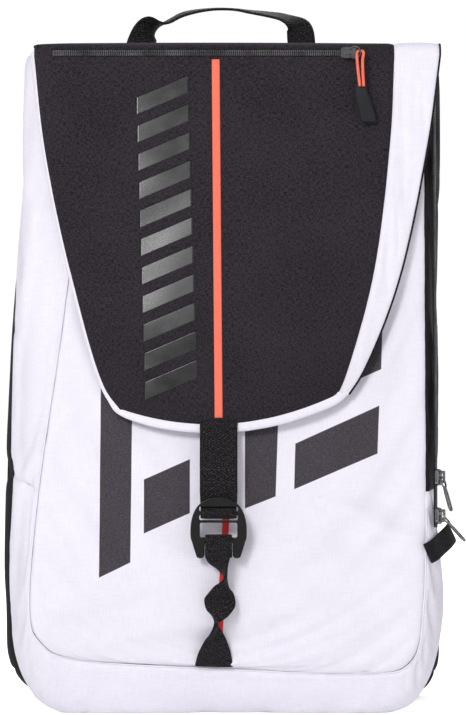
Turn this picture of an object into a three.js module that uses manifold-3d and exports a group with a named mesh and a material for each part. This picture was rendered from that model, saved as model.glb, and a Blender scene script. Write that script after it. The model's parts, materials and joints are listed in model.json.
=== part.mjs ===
// Racket backpack with a fold-over flap, a hook-and-loop-chain closure and a shoulder harness.
// Millimetres, +Z up, front faces -Y, origin at the centre of the flat base.
import * as THREE from "three";
import { mergeVertices } from "three/addons/utils/BufferGeometryUtils.js";
import Module from "manifold-3d";

const wasm = await Module();
wasm.setup();

// ---- Driving dimensions ----
const RIM = 521; // height of the open mouth's edge
const COVER_TOP = 529; // top face of the fabric that folds over the mouth
const WALL = 2.5; // padded fabric wall
const LINING = 1.6;
const GAP = 0.4; // clearance between separate pieces
const FOOT_Y = -84; // front seam at the bottom
const BELLY_Y = -100; // front seam where it bulges furthest
const BELLY_Z = 100;
const RIM_FRONT_Y = -46; // front seam at the rim
const ROUND_DEPTH = 40; // how far back the gusset takes to round the corner
const MIDDLE_Y = 42; // seam between the front and the racket compartment
const REAR_Y = 88; // rear edge of the racket compartment
const PANEL_Y = REAR_Y + GAP; // front face of the back panel
const BACK_Y = PANEL_Y + 3; // rear face of the back panel
const CROWN = 12; // swell of the front panel
const WEBBING = 1.5; // webbing thickness
const STRAP_WIDTH = 30;
const STRAP_X = -2.5; // centre line of the flap, its strap and the loop chain

// Outlines seen from the front, as [x, z] from the left rim, down, along the base and up to the right rim.
const FRONT_SEAM = [
  [-104, RIM], [-114, 405], [-128, 292], [-144, 178], [-151, 88], [-142, 57], [-110, 44], [0, 37],
  [112, 33], [149, 43], [158, 88], [160.5, 178], [160.5, 292], [160.5, 405], [160.5, RIM],
];
const SIDE_EDGE = [
  [-157, RIM], [-163.5, 405], [-169, 292], [-171, 178], [-170, 88], [-161, 33], [-120, 0], [0, 0],
  [124, 0], [160, 24], [171, 88], [171, 178], [171, 292], [171, 405], [171, RIM],
];
const REAR_EDGE = [
  [-153, RIM], [-163, 405], [-174, 292], [-178.5, 178], [-177, 88], [-166, 28], [-122, 0], [0, 0],
  [126, 0], [163, 22], [172, 88], [172, 178], [172, 292], [171, 405], [168, RIM],
];
const LAST = FRONT_SEAM.length - 1;
const LEFT_JOIN = 3 / LAST; // the side gussets meet the lower gusset here
const RIGHT_JOIN = 11 / LAST;

// Flap edges seen from the front, from the fold down to the hem.
const FLAP_LEFT = [[-151, COVER_TOP], [-141, 450], [-118, 344], [-92, 258], [-80, 241]];
const FLAP_RIGHT = [[136, COVER_TOP], [132, 450], [118, 344], [96, 266], [90, 252]];
const WING_EDGE = [[173, COVER_TOP], [162, 450], [138, 340], [110, 270], [97, 250]];
const HEM_SAG = 17;
const HEM_WIDTH = 6;
const FLAP_OUT = 9; // outer face of the flap ahead of the body
const WING_OUT = 6.5;
const LINING_OUT = 4.5;
const FOLD_Y = RIM_FRONT_Y - 1;

const ZIP_Z = 521.5; // flap zip
const ZIP_LEFT = -135;
const ZIP_RIGHT = 97;
const SIDE_ZIP_TOP = 492;
const SIDE_ZIP_END = 148;
const SIDE_ZIP_BACK = 5.4; // side zip behind the front seam
const SIDE_ZIP_X = 166;

const HOOK = { x: -2.5, z: 149.5, y: -118, width: 43.5, height: 47.5, thick: 4.4 };
const HEM_Z = 232; // where the closure strap leaves the flap

// ---- Materials ----
const cloth = (color, roughness = 0.9) => new THREE.MeshStandardMaterial({ color, roughness, metalness: 0 });
const WHITE = cloth(0xe9e6f1);
const CHARCOAL = cloth(0x38343a);
const BLACK = cloth(0x1b191c);
const BLACK_WEB = cloth(0x151416, 0.8);
const MESH_PAD = cloth(0x232226);
const CORAL = cloth(0xf26f5e, 0.6);
const PLASTIC = cloth(0x1d1c1e, 0.45);
const RUBBER = cloth(0x222124, 0.6);
const METAL = new THREE.MeshStandardMaterial({ color: 0x6f6d70, roughness: 0.3, metalness: 1 });

const lerp = THREE.MathUtils.lerp;
const clamp = THREE.MathUtils.clamp;
const vec = (x, y, z) => new THREE.Vector3(x, y, z);

// ---- Solids ----
// Quads of a closed grid solid: outer and inner faces, then the four borders that join them.
function gridFaces(columns, rows) {
  const faces = [];
  const inner = columns * rows;
  const quad = (a, b, c, d) => faces.push(a, b, c, a, c, d);
  const at = (i, j) => j * columns + i;
  for (let j = 0; j < rows - 1; j++) {
    for (let i = 0; i < columns - 1; i++) {
      quad(at(i, j), at(i + 1, j), at(i + 1, j + 1), at(i, j + 1));
      quad(inner + at(i, j), inner + at(i, j + 1), inner + at(i + 1, j + 1), inner + at(i + 1, j));
    }
  }
  const border = (a, b) => quad(b, a, inner + a, inner + b);
  for (let i = 0; i < columns - 1; i++) {
    border(at(i, 0), at(i + 1, 0));
    border(at(i + 1, rows - 1), at(i, rows - 1));
  }
  for (let j = 0; j < rows - 1; j++) {
    border(at(columns - 1, j), at(columns - 1, j + 1));
    border(at(0, j + 1), at(0, j));
  }
  return faces;
}

function signedVolume(points, faces) {
  let sum = 0;
  for (let k = 0; k < faces.length; k += 3) {
    const [a, b, c] = [points[faces[k]], points[faces[k + 1]], points[faces[k + 2]]];
    sum += a.dot(b.clone().cross(c));
  }
  return sum;
}

// A closed sheet: point(u, v) is its outer face, and thick (a number or a function) is laid behind that face.
function sheet(point, thick, columns, rows, flip = 1) {
  const step = 2e-3;
  const outer = [];
  const inner = [];
  for (let j = 0; j <= rows; j++) {
    for (let i = 0; i <= columns; i++) {
      const u = i / columns;
      const v = j / rows;
      const along = point(Math.min(u + step, 1), v).sub(point(Math.max(u - step, 0), v));
      const down = point(u, Math.min(v + step, 1)).sub(point(u, Math.max(v - step, 0)));
      const normal = along.cross(down).normalize();
      const depth = typeof thick === "function" ? thick(u, v) : thick;
      const p = point(u, v);
      outer.push(p);
      inner.push(p.clone().addScaledVector(normal, flip * depth));
    }
  }
  const points = [...outer, ...inner];
  const faces = gridFaces(columns + 1, rows + 1);
  if (signedVolume(points, faces) < 0) faces.reverse();
  return new THREE.BufferGeometry().setFromPoints(points).setIndex(faces);
}

// Webbing along a curve: across(t) is the direction of its width, and it is centred on the curve.
function webbing(points, width, across, steps, thick = WEBBING) {
  const line = new THREE.CatmullRomCurve3(points);
  const frame = (t) => {
    const side = across(t).normalize();
    const normal = side.clone().cross(line.getTangent(t)).normalize();
    const wide = typeof width === "function" ? width(t) : width;
    const deep = typeof thick === "function" ? thick(t) : thick;
    return { at: line.getPoint(t), side, normal, wide, deep };
  };
  const rows = steps + 1;
  const outer = [];
  const inner = [];
  for (let j = 0; j < rows; j++) {
    const { at, side, normal, wide, deep } = frame(j / steps);
    for (const u of [-0.5, 0.5]) {
      const edge = at.clone().addScaledVector(side, u * wide);
      outer.push(edge.clone().addScaledVector(normal, deep / 2));
      inner.push(edge.clone().addScaledVector(normal, -deep / 2));
    }
  }
  const all = [...outer, ...inner];
  const faces = gridFaces(2, rows);
  if (signedVolume(all, faces) < 0) faces.reverse();
  return new THREE.BufferGeometry().setFromPoints(all).setIndex(faces);
}

// A plate in the XZ plane, its front face at y = -thick.
function plate(shape, thick, bevel = 0, segments = 4) {
  const geometry = new THREE.ExtrudeGeometry(shape, {
    depth: thick - 2 * bevel,
    bevelEnabled: bevel > 0,
    bevelThickness: bevel,
    bevelSize: bevel,
    bevelOffset: -bevel,
    bevelSegments: segments > 4 ? 2 : 1,
    curveSegments: segments,
  });
  return geometry.translate(0, 0, bevel).rotateX(Math.PI / 2);
}

function toSolid(geometry) {
  const bare = geometry.clone();
  bare.deleteAttribute("normal");
  bare.deleteAttribute("uv");
  const merged = mergeVertices(bare, 1e-4);
  const vertProperties = merged.attributes.position.array;
  const triVerts = new Uint32Array(merged.index.array);
  return new wasm.Manifold(new wasm.Mesh({ numProp: 3, vertProperties, triVerts }));
}

function toGeometry(solid) {
  const { vertProperties, triVerts } = solid.getMesh();
  return new THREE.BufferGeometry()
    .setAttribute("position", new THREE.BufferAttribute(new Float32Array(vertProperties), 3))
    .setIndex(new THREE.BufferAttribute(new Uint32Array(triVerts), 1));
}

const cut = (geometry, ...tools) =>
  toGeometry(tools.reduce((solid, tool) => solid.subtract(toSolid(tool)), toSolid(geometry)));

const block = (x0, x1, y0, y1, z0, z1) =>
  new THREE.BoxGeometry(x1 - x0, y1 - y0, z1 - z0).translate((x0 + x1) / 2, (y0 + y1) / 2, (z0 + z1) / 2);

function roundedRectangle(width, height, radius) {
  const [w, h] = [width / 2, height / 2];
  const shape = new THREE.Shape();
  shape.moveTo(-w + radius, -h);
  shape.lineTo(w - radius, -h).absarc(w - radius, -h + radius, radius, -Math.PI / 2, 0);
  shape.lineTo(w, h - radius).absarc(w - radius, h - radius, radius, 0, Math.PI / 2);
  shape.lineTo(-w + radius, h).absarc(-w + radius, h - radius, radius, Math.PI / 2, Math.PI);
  shape.lineTo(-w, -h + radius).absarc(-w + radius, -h + radius, radius, Math.PI, 1.5 * Math.PI);
  return shape;
}

// ---- Body surface ----
const curveOf = (points) => new THREE.CatmullRomCurve3(points.map(([x, z]) => vec(x, 0, z)));
const outlineOf = (points) =>
  new THREE.CatmullRomCurve3(points.map(([x, z]) => vec(x, 0, z)), false, "catmullrom", 0.5);
const seamLine = outlineOf(FRONT_SEAM);
const sideLine = outlineOf(SIDE_EDGE);
const rearLine = outlineOf(REAR_EDGE);

// x of an outline's left half at a height.
function leftAt(outline, z) {
  for (let k = 0; k < 4; k++) {
    const [[x0, z0], [x1, z1]] = [outline[k], outline[k + 1]];
    if (z >= z1) return lerp(x1, x0, (z - z1) / (z0 - z1));
  }
  return outline[4][0];
}

// Depth of the front seam at a height: it leans back in a straight line above the belly.
function seamY(z) {
  if (z >= BELLY_Z) return lerp(BELLY_Y, RIM_FRONT_Y, (z - BELLY_Z) / (RIM - BELLY_Z));
  return lerp(FOOT_Y, BELLY_Y, Math.sin((clamp(z / BELLY_Z, 0, 1) * Math.PI) / 2));
}

// Swell of the stuffed front panel, nothing at its seams and at the fold.
function crownAt(x, z) {
  const left = leftAt(FRONT_SEAM, z);
  const across = clamp((x - left) / (160 - left), 0, 1);
  const low = clamp((z - 40) / 80, 0, 1);
  const high = clamp((RIM - 20 - z) / 200, 0, 1);
  return CROWN * 4 * across * (1 - across) * Math.sin((low * Math.PI) / 2) * Math.sin((high * Math.PI) / 2);
}

const bodyY = (x, z) => seamY(z) - crownAt(x, z);

// The front gusset: rounds the corner from the front seam, then runs straight back.
function gussetPoint(t, v) {
  const roundShare = 0.55;
  const seam = seamLine.getPoint(t);
  const side = sideLine.getPoint(t);
  const turn = (Math.min(v / roundShare, 1) * Math.PI) / 2;
  const x = lerp(seam.x, side.x, Math.sin(turn));
  const z = clamp(lerp(seam.z, side.z, Math.sin(turn)), 0, RIM);
  const rounded = seamY(seam.z) + ROUND_DEPTH * (1 - Math.cos(turn));
  const y = v < roundShare ? rounded : lerp(rounded, MIDDLE_Y - GAP, (v - roundShare) / (1 - roundShare));
  return vec(x, y, z);
}

const gusset = (from, to, columns) => sheet((u, v) => gussetPoint(lerp(from, to, u), v), WALL, columns, 7);

function frontPanel() {
  const bottomRow = 6 / LAST;
  const point = (u, v) => {
    const left = seamLine.getPoint(lerp(0, bottomRow, v));
    const right = seamLine.getPoint(1 - lerp(0, bottomRow, v));
    const p = left.lerp(right, lerp(0.003, 0.997, u));
    p.z = Math.min(p.z, RIM) + 0.5 * v;
    p.y = bodyY(p.x, p.z);
    return p;
  };
  return sheet(point, WALL, 8, 14);
}

function rearGusset(from, to, columns) {
  const point = (u, v) => {
    const p = rearLine.getPoint(lerp(from, to, u));
    return vec(p.x, lerp(MIDDLE_Y + GAP, REAR_Y, v), clamp(p.z, 0, RIM));
  };
  return sheet(point, WALL, columns, 1);
}

// A flat panel across the whole bag, inset from the rear outline.
function crossPanel(y0, y1, inset, top) {
  const shape = new THREE.Shape();
  const steps = 42;
  for (let k = 0; k <= steps; k++) {
    const p = rearLine.getPoint(k / steps);
    const x = p.x - Math.sign(p.x) * inset;
    const z = clamp(p.z < 120 ? p.z + inset : p.z, 0, top);
    if (k === 0) shape.moveTo(x, z);
    else shape.lineTo(x, z);
  }
  return plate(shape, y1 - y0).translate(0, y1, 0);
}

// Binding round three sides of the mouth; the back panel closes the fourth.
function mouthBinding() {
  const [left, right] = [gussetPoint(0, 0.55), gussetPoint(1, 0.55)];
  const corner = 4;
  const rim = [vec(-154, REAR_Y - 3, 0), vec(-155, MIDDLE_Y, 0), vec(left.x, left.y + 4, 0)];
  for (let k = corner; k >= 0; k--) rim.push(gussetPoint(0, (0.5 * k) / corner));
  for (let k = 0; k <= corner; k++) rim.push(gussetPoint(1, (0.5 * k) / corner));
  rim.push(vec(right.x, right.y + 4, 0), vec(170, MIDDLE_Y, 0), vec(168, REAR_Y - 3, 0));
  rim.forEach((p) => p.set(p.x * 0.99, p.y + (p.y < -20 ? 1.5 : 0), RIM + GAP + 1.6));
  return webbing(rim, 3.2, () => vec(0, 0, 1), 40, 2.6);
}

// ---- Flap surface ----
const flapLeft = curveOf(FLAP_LEFT);
const flapRight = curveOf(FLAP_RIGHT);
const wingEdge = curveOf(WING_EDGE);

// y of a layer of the flap that stands "out" ahead of the body; its left corner wraps round the bag.
function flapY(x, z, out) {
  const wrap = Math.max(0, (-118 - x) / 33);
  const high = clamp((z - 380) / 120, 0, 1);
  return bodyY(clamp(x, -118, 158), z) - out + 18 * wrap * wrap * high;
}

function flapPoint(u, v, out) {
  const p = flapLeft.getPoint(v).lerp(flapRight.getPoint(v), u);
  p.z -= HEM_SAG * (1 - (2 * u - 1) ** 2) * clamp((v - 0.5) / 0.5, 0, 1) ** 2;
  p.y = flapY(p.x, p.z, out);
  return p;
}

const flapPanel = () => sheet((u, v) => flapPoint(u, v, FLAP_OUT), WALL, 10, 14);
const flapLining = () =>
  sheet((u, v) => flapPoint(lerp(0.12, 0.97, u), lerp(0.025, 0.97, v), LINING_OUT), LINING, 10, 12);

function rightWing() {
  const point = (u, v) => {
    const row = lerp(0, 0.985, v);
    const p = flapRight.getPoint(row).add(vec(2 * GAP, 0, 0)).lerp(wingEdge.getPoint(row), u);
    p.y = flapY(p.x, p.z, lerp(FLAP_OUT - 0.5, WING_OUT, u));
    return p;
  };
  return sheet(point, 2, 3, 14);
}

// The left wing is folded back along the side of the bag.
function leftWing() {
  const point = (u, v) => {
    const p = flapLeft.getPoint(lerp(0, 0.97, v));
    const depth = lerp(FLAP_OUT - 0.5, LINING_OUT - 2, u);
    p.x -= GAP + 1.2;
    p.y = flapY(p.x, p.z, depth);
    return p;
  };
  return sheet(point, 1.2, 1, 14, -1);
}

function flapHem() {
  const point = (u, v) => {
    const p = flapPoint(lerp(0.012, 0.985, u), 1, FLAP_OUT - 1);
    p.z -= GAP + 0.4 + HEM_WIDTH * v;
    p.y = flapY(p.x, p.z, lerp(FLAP_OUT - 1, FLAP_OUT - 3, v));
    return p;
  };
  return sheet(point, 2.4, 10, 1);
}

// A strip laid on the flap between two points given as [x, z].
function flapStrip([x0, z0], [x1, z1], width, thick, steps) {
  const across = x1 === x0 || Math.abs(z1 - z0) > Math.abs(x1 - x0) ? vec(1, 0, 0) : vec(0, 0, 1);
  const point = (u, v) => {
    const p = vec(lerp(x0, x1, v), 0, lerp(z0, z1, v)).addScaledVector(across, (u - 0.5) * width);
    p.y = flapY(p.x, p.z, FLAP_OUT + GAP + thick);
    return p;
  };
  return sheet(point, thick, 1, steps);
}

// ---- Hardware ----
// Zip slider: a saddle on the coil with a bridge. Local x is its width, -y faces out and z runs along the zip.
const EYE_OUT = 4.55; // centre of the opening under the bridge
function zipSlider() {
  const saddle = toSolid(plate(roundedRectangle(9, 13, 3), 3.2, 0.5));
  const bridge = toSolid(plate(roundedRectangle(2.8, 10, 1.2), 7));
  return cut(toGeometry(saddle.add(bridge)), block(-3, 3, -5.8, -3.3, -2.6, 2.6));
}

// A flat metal pull: an eye that runs under the bridge, centred on the origin, and a slotted tab down local -z.
function metalPull() {
  const [eye, end] = [-4.4, -24.6];
  const shape = new THREE.Shape();
  shape.moveTo(-2.5, eye - 4.33).lineTo(-3.4, -13).lineTo(-3.6, end);
  shape.absarc(0, end, 3.6, Math.PI, 2 * Math.PI);
  shape.lineTo(3.4, -13).lineTo(2.5, eye - 4.33);
  shape.absarc(0, eye, 5, (-60 * Math.PI) / 180, (240 * Math.PI) / 180);
  const slot = new THREE.Path();
  slot.moveTo(-1.8, -12.5).lineTo(-1.8, end);
  slot.absarc(0, end, 1.8, Math.PI, 2 * Math.PI);
  slot.lineTo(1.8, -12.5);
  const hole = new THREE.Path().absarc(0, eye, 3.8, 0, 2 * Math.PI);
  shape.holes.push(slot, hole);
  return plate(shape, 1.2, 0, 6).translate(0, 0.6, 0);
}

// Hook buckle: an arch and two bars for the strap, a window, and a lower bar that is free at its left end.
function hookBuckle() {
  const { width, height, thick } = HOOK;
  const [w, h] = [width / 2, height / 2];
  const shape = new THREE.Shape();
  shape.moveTo(-17, -h).lineTo(-w, -8);
  shape.bezierCurveTo(-w - 1, 4, -w + 1, h, 0, h);
  shape.bezierCurveTo(w - 1, h, w + 1, 4, w, -8);
  shape.lineTo(17, -h).lineTo(-17, -h);
  const through = [-thick - 1, 1];
  const tools = [
    block(-15, 15, ...through, 12.6, 16.4), // slot above the strap bar
    block(-15, 15, ...through, 5.8, 10), // slot below it
    block(-14.5, 14.5, ...through, -7.6, 3.9), // window
    block(-11.8, 11.8, ...through, -h - 1, -11.6), // between the feet
    block(-14.5, -11.6, ...through, -14.6, -7.5), // mouth of the hook
    block(-12, -9, ...through, -14.6, -11.5),
    block(-11.7, 14.4, -thick - 1, -thick + 1, -11.7, -7.5), // the lower bar is thinner
  ];
  return cut(plate(shape, thick, 0.8, 6), ...tools).translate(HOOK.x, HOOK.y + thick / 2, HOOK.z);
}

// Two-slot adjuster at the end of a shoulder pad.
function ladderLock() {
  const shape = roundedRectangle(36, 27, 4);
  const slot = (z0, z1) => block(-14, 14, -6, 2, z0, z1);
  return cut(plate(shape, 4.4, 0.6), slot(6, 9.6), slot(-9.6, -1.2)).translate(0, 2.2, 0);
}

// ---- Harness ----
const PAD_LINE = [[50, 101, 483], [62, 112, 460], [96, 130, 400], [134, 141, 335], [148, 141, 275], [149, 131, 228]];
const HARNESS_LOW = vec(128, BACK_Y + 2.4, 48);
const LOCK_AT = vec(148, 124, 203);

function shoulderPad(side) {
  const line = new THREE.CatmullRomCurve3(PAD_LINE.map(([x, y, z]) => vec(side * x, y, z)));
  const point = (u, v) => {
    const along = line.getTangent(v);
    const across = along.clone().cross(vec(0, 1, 0)).normalize();
    const half = 25 + 6 * Math.sin(Math.PI * v) - 7 * clamp((v - 0.9) / 0.1, 0, 1);
    const edge = 2 * u - 1;
    const p = line.getPoint(v).addScaledVector(across, edge * half);
    const out = across.clone().cross(along).normalize();
    if (out.y < 0) out.negate();
    return p.addScaledVector(out, 5 - 2 * edge ** 4);
  };
  return sheet(point, (u) => 10 - 4 * (2 * u - 1) ** 4, 6, 16, -1);
}

// From the low anchor up to the adjuster, over its bar and down again as a loose tail.
function lowerWebbing(side) {
  const { x, y, z } = LOCK_AT;
  const points = [
    vec(side * HARNESS_LOW.x, HARNESS_LOW.y, HARNESS_LOW.z),
    vec(side * (HARNESS_LOW.x + 3), HARNESS_LOW.y + 3, HARNESS_LOW.z + 20),
    vec(side * (x - 6), y - 12, z - 70),
    vec(side * x, y - 6, z - 20),
    vec(side * x, y - 4, z - 8),
    vec(side * x, y, z - 3.4),
    vec(side * x, y + 5, z - 10),
    vec(side * x, y + 9, z - 30),
    vec(side * (x + 1), y + 9, z - 75),
  ];
  return webbing(points, 24, () => vec(1, 0, 0), 30);
}

// ---- Assembly ----
const pack = new THREE.Group();
const add = (name, geometry, material) => {
  const made = new THREE.Mesh(geometry, material);
  made.name = name;
  pack.add(made);
  return made;
};

// Sets a mesh on local axes: its local x, y and z become the three directions.
function place(made, at, x, y, z) {
  made.quaternion.setFromRotationMatrix(new THREE.Matrix4().makeBasis(x, y, z));
  made.position.copy(at);
  return made;
}

// Front compartment
add("front_panel", frontPanel(), WHITE);
add("left_gusset", gusset(0, LEFT_JOIN - 0.0008, 8), WHITE);
add("lower_gusset", gusset(LEFT_JOIN, RIGHT_JOIN, 26), WHITE);
add("right_gusset", gusset(RIGHT_JOIN + 0.0008, 1, 8), BLACK);

// Racket compartment
add("rear_gusset_left", rearGusset(0, 5 / LAST, 12), BLACK);
add("rear_gusset_base", rearGusset(5.01 / LAST, 8.99 / LAST, 14), BLACK);
add("rear_gusset_right", rearGusset(9 / LAST, 1, 12), BLACK);
add("back_panel", crossPanel(PANEL_Y, BACK_Y, 0, RIM), BLACK);
add("divider", crossPanel(MIDDLE_Y + 1, MIDDLE_Y + 5, WALL + 2.5, RIM - 30), CHARCOAL);
add("mouth_binding", mouthBinding(), BLACK_WEB);

// Back padding and harness fixings
const padOnBack = (shape, x, z, thick, bevel = 0) =>
  plate(shape, thick, bevel, 6).translate(x, BACK_Y + GAP + thick, z);
add("back_pad_left", padOnBack(roundedRectangle(88, 270, 22), -58, 288, 11, 3), MESH_PAD);
add("back_pad_right", padOnBack(roundedRectangle(88, 270, 22), 58, 288, 11, 3), MESH_PAD);
add("lumbar_pad", padOnBack(roundedRectangle(204, 72, 22), 0, 106, 11, 3), MESH_PAD);
add("harness_yoke", padOnBack(roundedRectangle(176, 20, 3), 0, 501, 2.6), BLACK);
for (const [name, side] of [["left", -1], ["right", 1]]) {
  const wing = new THREE.Shape([
    new THREE.Vector2(side * 108, 26), new THREE.Vector2(side * 152, 34),
    new THREE.Vector2(side * 142, 56), new THREE.Vector2(side * 114, 56),
  ]);
  add(`strap_anchor_${name}`, plate(wing, 1.2).translate(0, BACK_Y + GAP + 1.2, 0), BLACK);
  add(`shoulder_pad_${name}`, shoulderPad(side), MESH_PAD);
  add(`ladder_lock_${name}`, ladderLock(), PLASTIC).position.set(side * LOCK_AT.x, LOCK_AT.y, LOCK_AT.z);
  add(`lower_webbing_${name}`, lowerWebbing(side), BLACK_WEB);
}

// Grab handle: flat on the panel at its feet, turned edge-on over its arch
const HANDLE_Y = BACK_Y + 3;
// [x, y, z] and the direction across the webbing, from the left foot over the arch to the right foot
const HANDLE = [
  [-71, HANDLE_Y, RIM, 1, 0, 0], [-67, HANDLE_Y + 4, 538, 1, 0, -0.3], [-60, 104, 550, 0.75, 0.55, -0.35],
  [-46, 107, 555, 0.1, 1, 0.25], [-32, 109, 562, 0, 1, 0.2], [-10, 110, 566, 0, 1, 0.08],
  [9, 110, 566, 0, 1, 0.06], [23, 110, 564, 0, 1, 0.14], [37, 109, 562, 0, 1, 0.22],
  [51, 107, 559, 0.2, 1, 0.3], [62.5, 104, 552, 0.9, 0.45, 0.2], [65, HANDLE_Y + 5, 540, 1, 0, 0],
  [65, HANDLE_Y, RIM, 1, 0, 0],
];
const handleAcross = (t) => {
  const k = Math.min(t * (HANDLE.length - 1), HANDLE.length - 1.000001);
  const [a, b] = [HANDLE[Math.floor(k)], HANDLE[Math.floor(k) + 1]];
  return vec(...[3, 4, 5].map((n) => lerp(a[n], b[n], k % 1)));
};
const handleLine = HANDLE.map(([x, y, z]) => vec(x, y, z));
add("grab_handle", webbing(handleLine, 23, handleAcross, 36, 2.4), BLACK_WEB);
for (const [name, x] of [["left", -71], ["right", 65]]) {
  const patch = block(x - 12, x + 12, BACK_Y + GAP, BACK_Y + GAP + 1.6, 512.5, RIM - 0.5);
  add(`handle_anchor_${name}`, patch, BLACK_WEB);
}

// Front trim: coral tape and the chain of twisted loops that the hook catches
function frontTape() {
  const point = (u, v) => {
    const z = lerp(236, 38, v);
    const x = lerp(8, -3.5, v) + (u - 0.5) * 5.4;
    return vec(x, bodyY(x, z) - GAP - 0.9, z);
  };
  return sheet(point, 0.6, 1, 20);
}
add("front_tape", frontTape(), CORAL);

function loopChain() {
  const { x, y, z } = HOOK;
  const bar = z - 9.6;
  // [x, z, distance ahead of the panel, degrees turned, width], up the panel to the buckle
  const lying = [
    [-6.3, 39.5, 2.6, 0, 30], [-5.8, 51, 4.8, 8, 26], [-5.2, 62.5, 6.6, 20, 17], [-4.6, 74.5, 7.2, 90, 6],
    [-3.4, 82.5, 7.2, 160, 18], [-1.5, 91.5, 6, 180, 26.4], [0.4, 101, 7.2, 200, 18], [2.6, 110.5, 7.6, 270, 6],
  ];
  const points = lying.map(([px, pz, out]) => vec(px, bodyY(px, pz) - out, pz));
  points.push(
    vec(x, y - 3, 126), vec(x, y - 5, bar - 5), vec(x, y - 4.4, bar + 1.6), vec(x, y, bar + 3.8),
    vec(x, y + 3.4, bar + 1.6), vec(x, y + 4.1, bar - 5), vec(x, y + 4.4, bar - 14),
  );
  const at = (t, column, rest) => {
    const k = t * (points.length - 1);
    const low = Math.floor(k);
    const value = (n) => (lying[n] ? lying[n][column] : rest);
    return lerp(value(low), value(low + 1), k - low);
  };
  const turned = (t) => (at(t, 3, 360) * Math.PI) / 180;
  const across = (t) => vec(Math.cos(turned(t)), Math.sin(turned(t)), 0);
  const thick = (t) => lerp(3.4, 1.2, Math.abs(Math.cos(turned(t))));
  return webbing(points, (t) => at(t, 4, 22), across, 56, thick);
}
add("loop_chain", loopChain(), BLACK_WEB);

// Fold-over cover and flap
function mouthCover() {
  const point = (u, v) => {
    const x = lerp(-146, 166, u);
    return vec(x, lerp(flapY(x, COVER_TOP, 3.6), BACK_Y - 1, v), COVER_TOP - 0.5);
  };
  return sheet(point, 2, 12, 2, -1);
}
add("mouth_cover", mouthCover(), CHARCOAL);
add("flap_panel", flapPanel(), CHARCOAL);
add("flap_lining", flapLining(), BLACK);
add("flap_wing_right", rightWing(), WHITE);
add("flap_wing_left", leftWing(), WHITE);
add("flap_hem", flapHem(), WHITE);
add("flap_stripe", flapStrip([-5, 510], [STRAP_X, HEM_Z + 2], 6.4, 0.6, 16), CORAL);
add("flap_zip_chain", flapStrip([ZIP_LEFT, ZIP_Z], [ZIP_RIGHT + 10, ZIP_Z], 7, 1.2, 24), BLACK_WEB);

// Closure strap: behind the buckle's arch, over its bar and back up behind, where its end is stitched
function closureStrap() {
  const { y, z } = HOOK;
  const x = STRAP_X;
  const top = flapY(x, HEM_Z, FLAP_OUT + 1.4);
  const points = [
    vec(x, top, HEM_Z), vec(x, top - 2, HEM_Z - 14), vec(x, y + 3, z + 46), vec(x, y + 4.8, z + 28),
    vec(x, y + 4.8, z + 19), vec(x, y + 3, z + 15.4), vec(x, y, z + 14.6), vec(x, y - 2.4, z + 13.8),
    vec(x, y - 3.3, z + 11.3), vec(x, y - 2.4, z + 8.8), vec(x, y, z + 8), vec(x, y + 2.5, z + 7.4),
    vec(x, y + 5.6, z + 9), vec(x, y + 7.2, z + 17), vec(x, y + 7.2, z + 34), vec(x, y + 5.6, z + 46),
  ];
  return webbing(points, 28.4, () => vec(1, 0, 0), 48, 1.2);
}
add("closure_strap", closureStrap(), BLACK_WEB);
add("closure_hook", hookBuckle(), PLASTIC);

// Flap zip: slider, ring, coral cord and moulded grip
const [X, Y, Z] = [vec(1, 0, 0), vec(0, 1, 0), vec(0, 0, 1)];
const zipFace = flapY(ZIP_RIGHT, ZIP_Z, FLAP_OUT + 2 * GAP + 1.5);
const sliderAt = vec(ZIP_RIGHT + 3, zipFace, ZIP_Z);
place(add("flap_zip_slider", zipSlider(), METAL), sliderAt, Z.clone().negate(), Y, X);
const RING_RADIUS = 4.6;
const ringAt = sliderAt.clone().add(vec(RING_RADIUS, -EYE_OUT, 0));
const ringShape = new THREE.TorusGeometry(RING_RADIUS, 0.6, 6, 20).rotateX(Math.PI / 2);
add("flap_zip_ring", ringShape, METAL).position.copy(ringAt);

const GRIP_BACK = flapY(25, 466, FLAP_OUT + 1); // clear of the flap at its fullest, where the slider passes
const GRIP_THICK = 4;
const GRIP_TOP = 494;
function pullCord() {
  const by = (x, y, z) => ringAt.clone().add(vec(x, y, z));
  const end = (x) => vec(x, GRIP_BACK - GRIP_THICK / 2, GRIP_TOP + GAP);
  const line = new THREE.CatmullRomCurve3([
    end(108.6), by(1.9, -2.6, -5), by(2.2, 0, 0.4), by(4.6, 2.2, 1), by(6.9, 0, 0.4), by(6.2, -2.8, -7), end(111.6),
  ]);
  const section = new THREE.Shape().absarc(0, 0, 1.2, 0, 2 * Math.PI);
  return new THREE.ExtrudeGeometry(section, { steps: 26, curveSegments: 4, bevelEnabled: false, extrudePath: line });
}
add("flap_zip_cord", pullCord(), CORAL);

function gripTab() {
  const corners = [[105, 0], [105.4, -10], [109.2, -28], [121.8, -28], [116.2, -10], [113.8, 0]];
  const shape = new THREE.Shape(corners.map(([x, z]) => new THREE.Vector2(x, GRIP_TOP + z)));
  return plate(shape, GRIP_THICK, 0.6).translate(0, GRIP_BACK, 0);
}
add("flap_zip_grip", gripTab(), RUBBER);

// Side zip with two sliders, each with a ring and a flat pull, and the webbing tab at its end
const zipLow = vec(SIDE_ZIP_X, seamY(SIDE_ZIP_END) + SIDE_ZIP_BACK, SIDE_ZIP_END);
const zipHigh = vec(SIDE_ZIP_X, seamY(SIDE_ZIP_TOP) + SIDE_ZIP_BACK, SIDE_ZIP_TOP);
const zipUp = zipHigh.clone().sub(zipLow).normalize();
const zipOut = vec(0.91, -0.41, 0).normalize();
const zipWide = zipOut.clone().negate().cross(zipUp).normalize();
const zipBack = zipUp.clone().cross(zipWide).normalize();

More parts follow.
